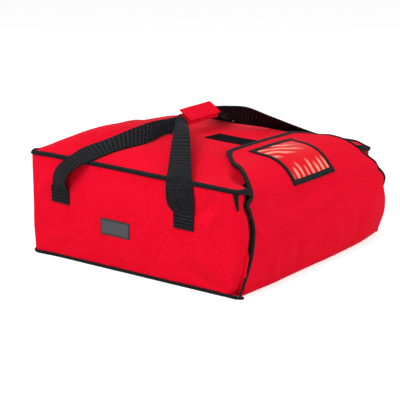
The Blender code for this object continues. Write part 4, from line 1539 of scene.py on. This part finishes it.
def stations(name):
    """The strap's middle, its half width as an arrow, and its half thickness."""
    side = -1 if "left" in name else 1
    level = 1 if "front" in name else -1
    made = []
    for middle, wide in STATIONS[name]:
        made.append((Vector(middle) / 1000, Vector(wide) / 1000, WEB_THICK / 2))
    end = grip_at(side * (GRIP_LENGTH / 2 + 0.0043), 0.0, level * FOLDED_OFF) - SET_BACK
    half = -FOLDED_HALF if name == "front_right" else FOLDED_HALF
    folded = Vector((0.0, cos(GRIP_TILT), sin(GRIP_TILT))) * half
    made.append((end, folded, FOLDED_THICK / 2))
    return made


def smooth_line(points, steps):
    """A smooth run of numbers through sparse rows of numbers."""
    line = [points[0], *points, points[-1]]
    made = []
    for a, b, c, d in zip(line, line[1:], line[2:], line[3:]):
        for k in range(steps):
            t = k / steps
            row = []
            for p0, p1, p2, p3 in zip(a, b, c, d):
                square = 2 * p0 - 5 * p1 + 4 * p2 - p3
                cube = 3 * p1 - p0 - 3 * p2 + p3
                row.append(0.5 * (2 * p1 + (p2 - p0) * t + square * t * t + cube * t ** 3))
            made.append(row)
    made.append(list(points[-1]))
    return made


def strap_frames(name, steps=10):
    """Middle, width and thickness vectors at every step along a strap."""
    rows = [(*middle, *wide, thin) for middle, wide, thin in stations(name)]
    line = smooth_line(rows, steps)
    side = -1 if "left" in name else 1
    made = []
    last = len(line) - 1
    for k, row in enumerate(line):
        middle, wide = Vector(row[:3]), Vector(row[3:6])
        ahead, behind = line[min(last, k + 1)], line[max(0, k - 1)]
        heading = (Vector(ahead[:3]) - Vector(behind[:3])).normalized()
        heading = heading.lerp(Vector((0.0, 0.0, 1.0)), clamp(1 - k / steps))
        heading = heading.lerp(Vector((-side, 0.0, 0.0)), clamp(1 - (last - k) / steps))
        heading.normalize()
        lifts = [lift_to_lid(tip) for tip in (middle - wide, middle + wide)]
        middle.z += sum(lifts) / 2
        wide.z += (lifts[1] - lifts[0]) / 2
        middle.z += lift_to_lid(middle)
        out = heading.cross(wide).normalized()
        same_way = Vector((side, 0.0, 0.0)) if k == 0 else made[-1][2]
        if out.dot(same_way) < 0:
            out = -out
        made.append((middle, wide, out * row[6]))
    return made


def strap_panel(frames):
    def place(u, v, w):
        middle, wide, thick = frames[round(v * (len(frames) - 1))]
        across = mix(-1, 1, u)
        cup = thick * 0.8 * hump(across, 2)
        return middle + wide * across + thick * mix(1, -1, w) + cup + SET_BACK
    return place


for name in STATIONS:
    frames = strap_frames(name)
    length = sum((b[0] - a[0]).length for a, b in zip(frames, frames[1:]))
    strap = panel(12, len(frames) - 1, (WEB_WIDTH, length), strap_panel(frames))
    strap = show("webbing_" + name, strap, [WEBBING])
    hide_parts("strap_" + name)
    start = frames[4][0] + SET_BACK
    stop = frames[-4][0] + SET_BACK
    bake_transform(strap)
    print("strap", name, "is", round(length * 1000), "mm long")

# %% [markdown]
# ## The studio
# The photograph is lit softly from the left and above on white. The floor and the sky show
# as white to the camera, but light the bag at a plain level, so the red is never washed out.

# %% The studio
WHITE = colour(1.0, 1.0, 1.0)
FLOOR_GLOW = 0.60
SKY_LIGHT = 0.42


def studio_floor():
    mesh = bmesh.new()
    bmesh.ops.create_grid(mesh, x_segments=1, y_segments=1, size=12.0)
    bmesh.ops.translate(mesh, verts=mesh.verts[:], vec=(0.0, 0.0, -0.0004))
    data = bpy.data.meshes.new("floor")
    mesh.to_mesh(data)
    mesh.free()
    finish = Finish("pale_floor")
    finish.set(Base_Color=colour(0.80, 0.80, 0.80), Roughness=0.9, Specular_IOR_Level=0.0)
    finish.set(Emission_Color=WHITE, Emission_Strength=finish.seen() * FLOOR_GLOW)
    data.materials.append(finish.material)
    floor = bpy.data.objects.new("floor", data)
    bpy.context.scene.collection.objects.link(floor)
    floor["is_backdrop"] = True


def studio_sky():
    world = bpy.data.worlds.new("studio")
    world.use_nodes = True
    bpy.context.scene.world = world
    air = Nodes(world.node_tree)
    sky = air.tree.nodes["Background"]
    links = {"Value": air.seen(), "To Min": SKY_LIGHT, "To Max": 1.0}
    air.feed(sky.inputs["Color"], WHITE)
    air.feed(sky.inputs["Strength"], air.node("ShaderNodeMapRange", links=links))


studio_floor()
studio_sky()


def lamp(name, turn, rise, away, size, power):
    """A square soft light, placed round the bag like the camera."""
    light = bpy.data.lights.new(name, "AREA")
    light.size = size
    light.energy = power
    place_round(bpy.data.objects.new(name, light), turn, rise, away)


lamp("key", -98.0, 44.0, 2.4, 1.2, 33.5)
lamp("fill", 16.0, 24.0, 2.6, 1.4, 22.0)
lamp("over", 0.0, 85.0, 2.4, 1.6, 4.5)
bpy.context.scene.view_settings.view_transform = "Standard"
print("three lamps")

# %% [markdown]
# The dressed bag may stand a little outside the solid one, as cloth does. Both boxes are kept
# so that they can be compared.

dressed_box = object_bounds()
for axis, name in enumerate("xyz"):
    low = (solid_box[0][axis] - dressed_box[0][axis]) * 1000
    high = (dressed_box[1][axis] - solid_box[1][axis]) * 1000
    print(name, "stands out by", round(low, 1), "and", round(high, 1), "mm")
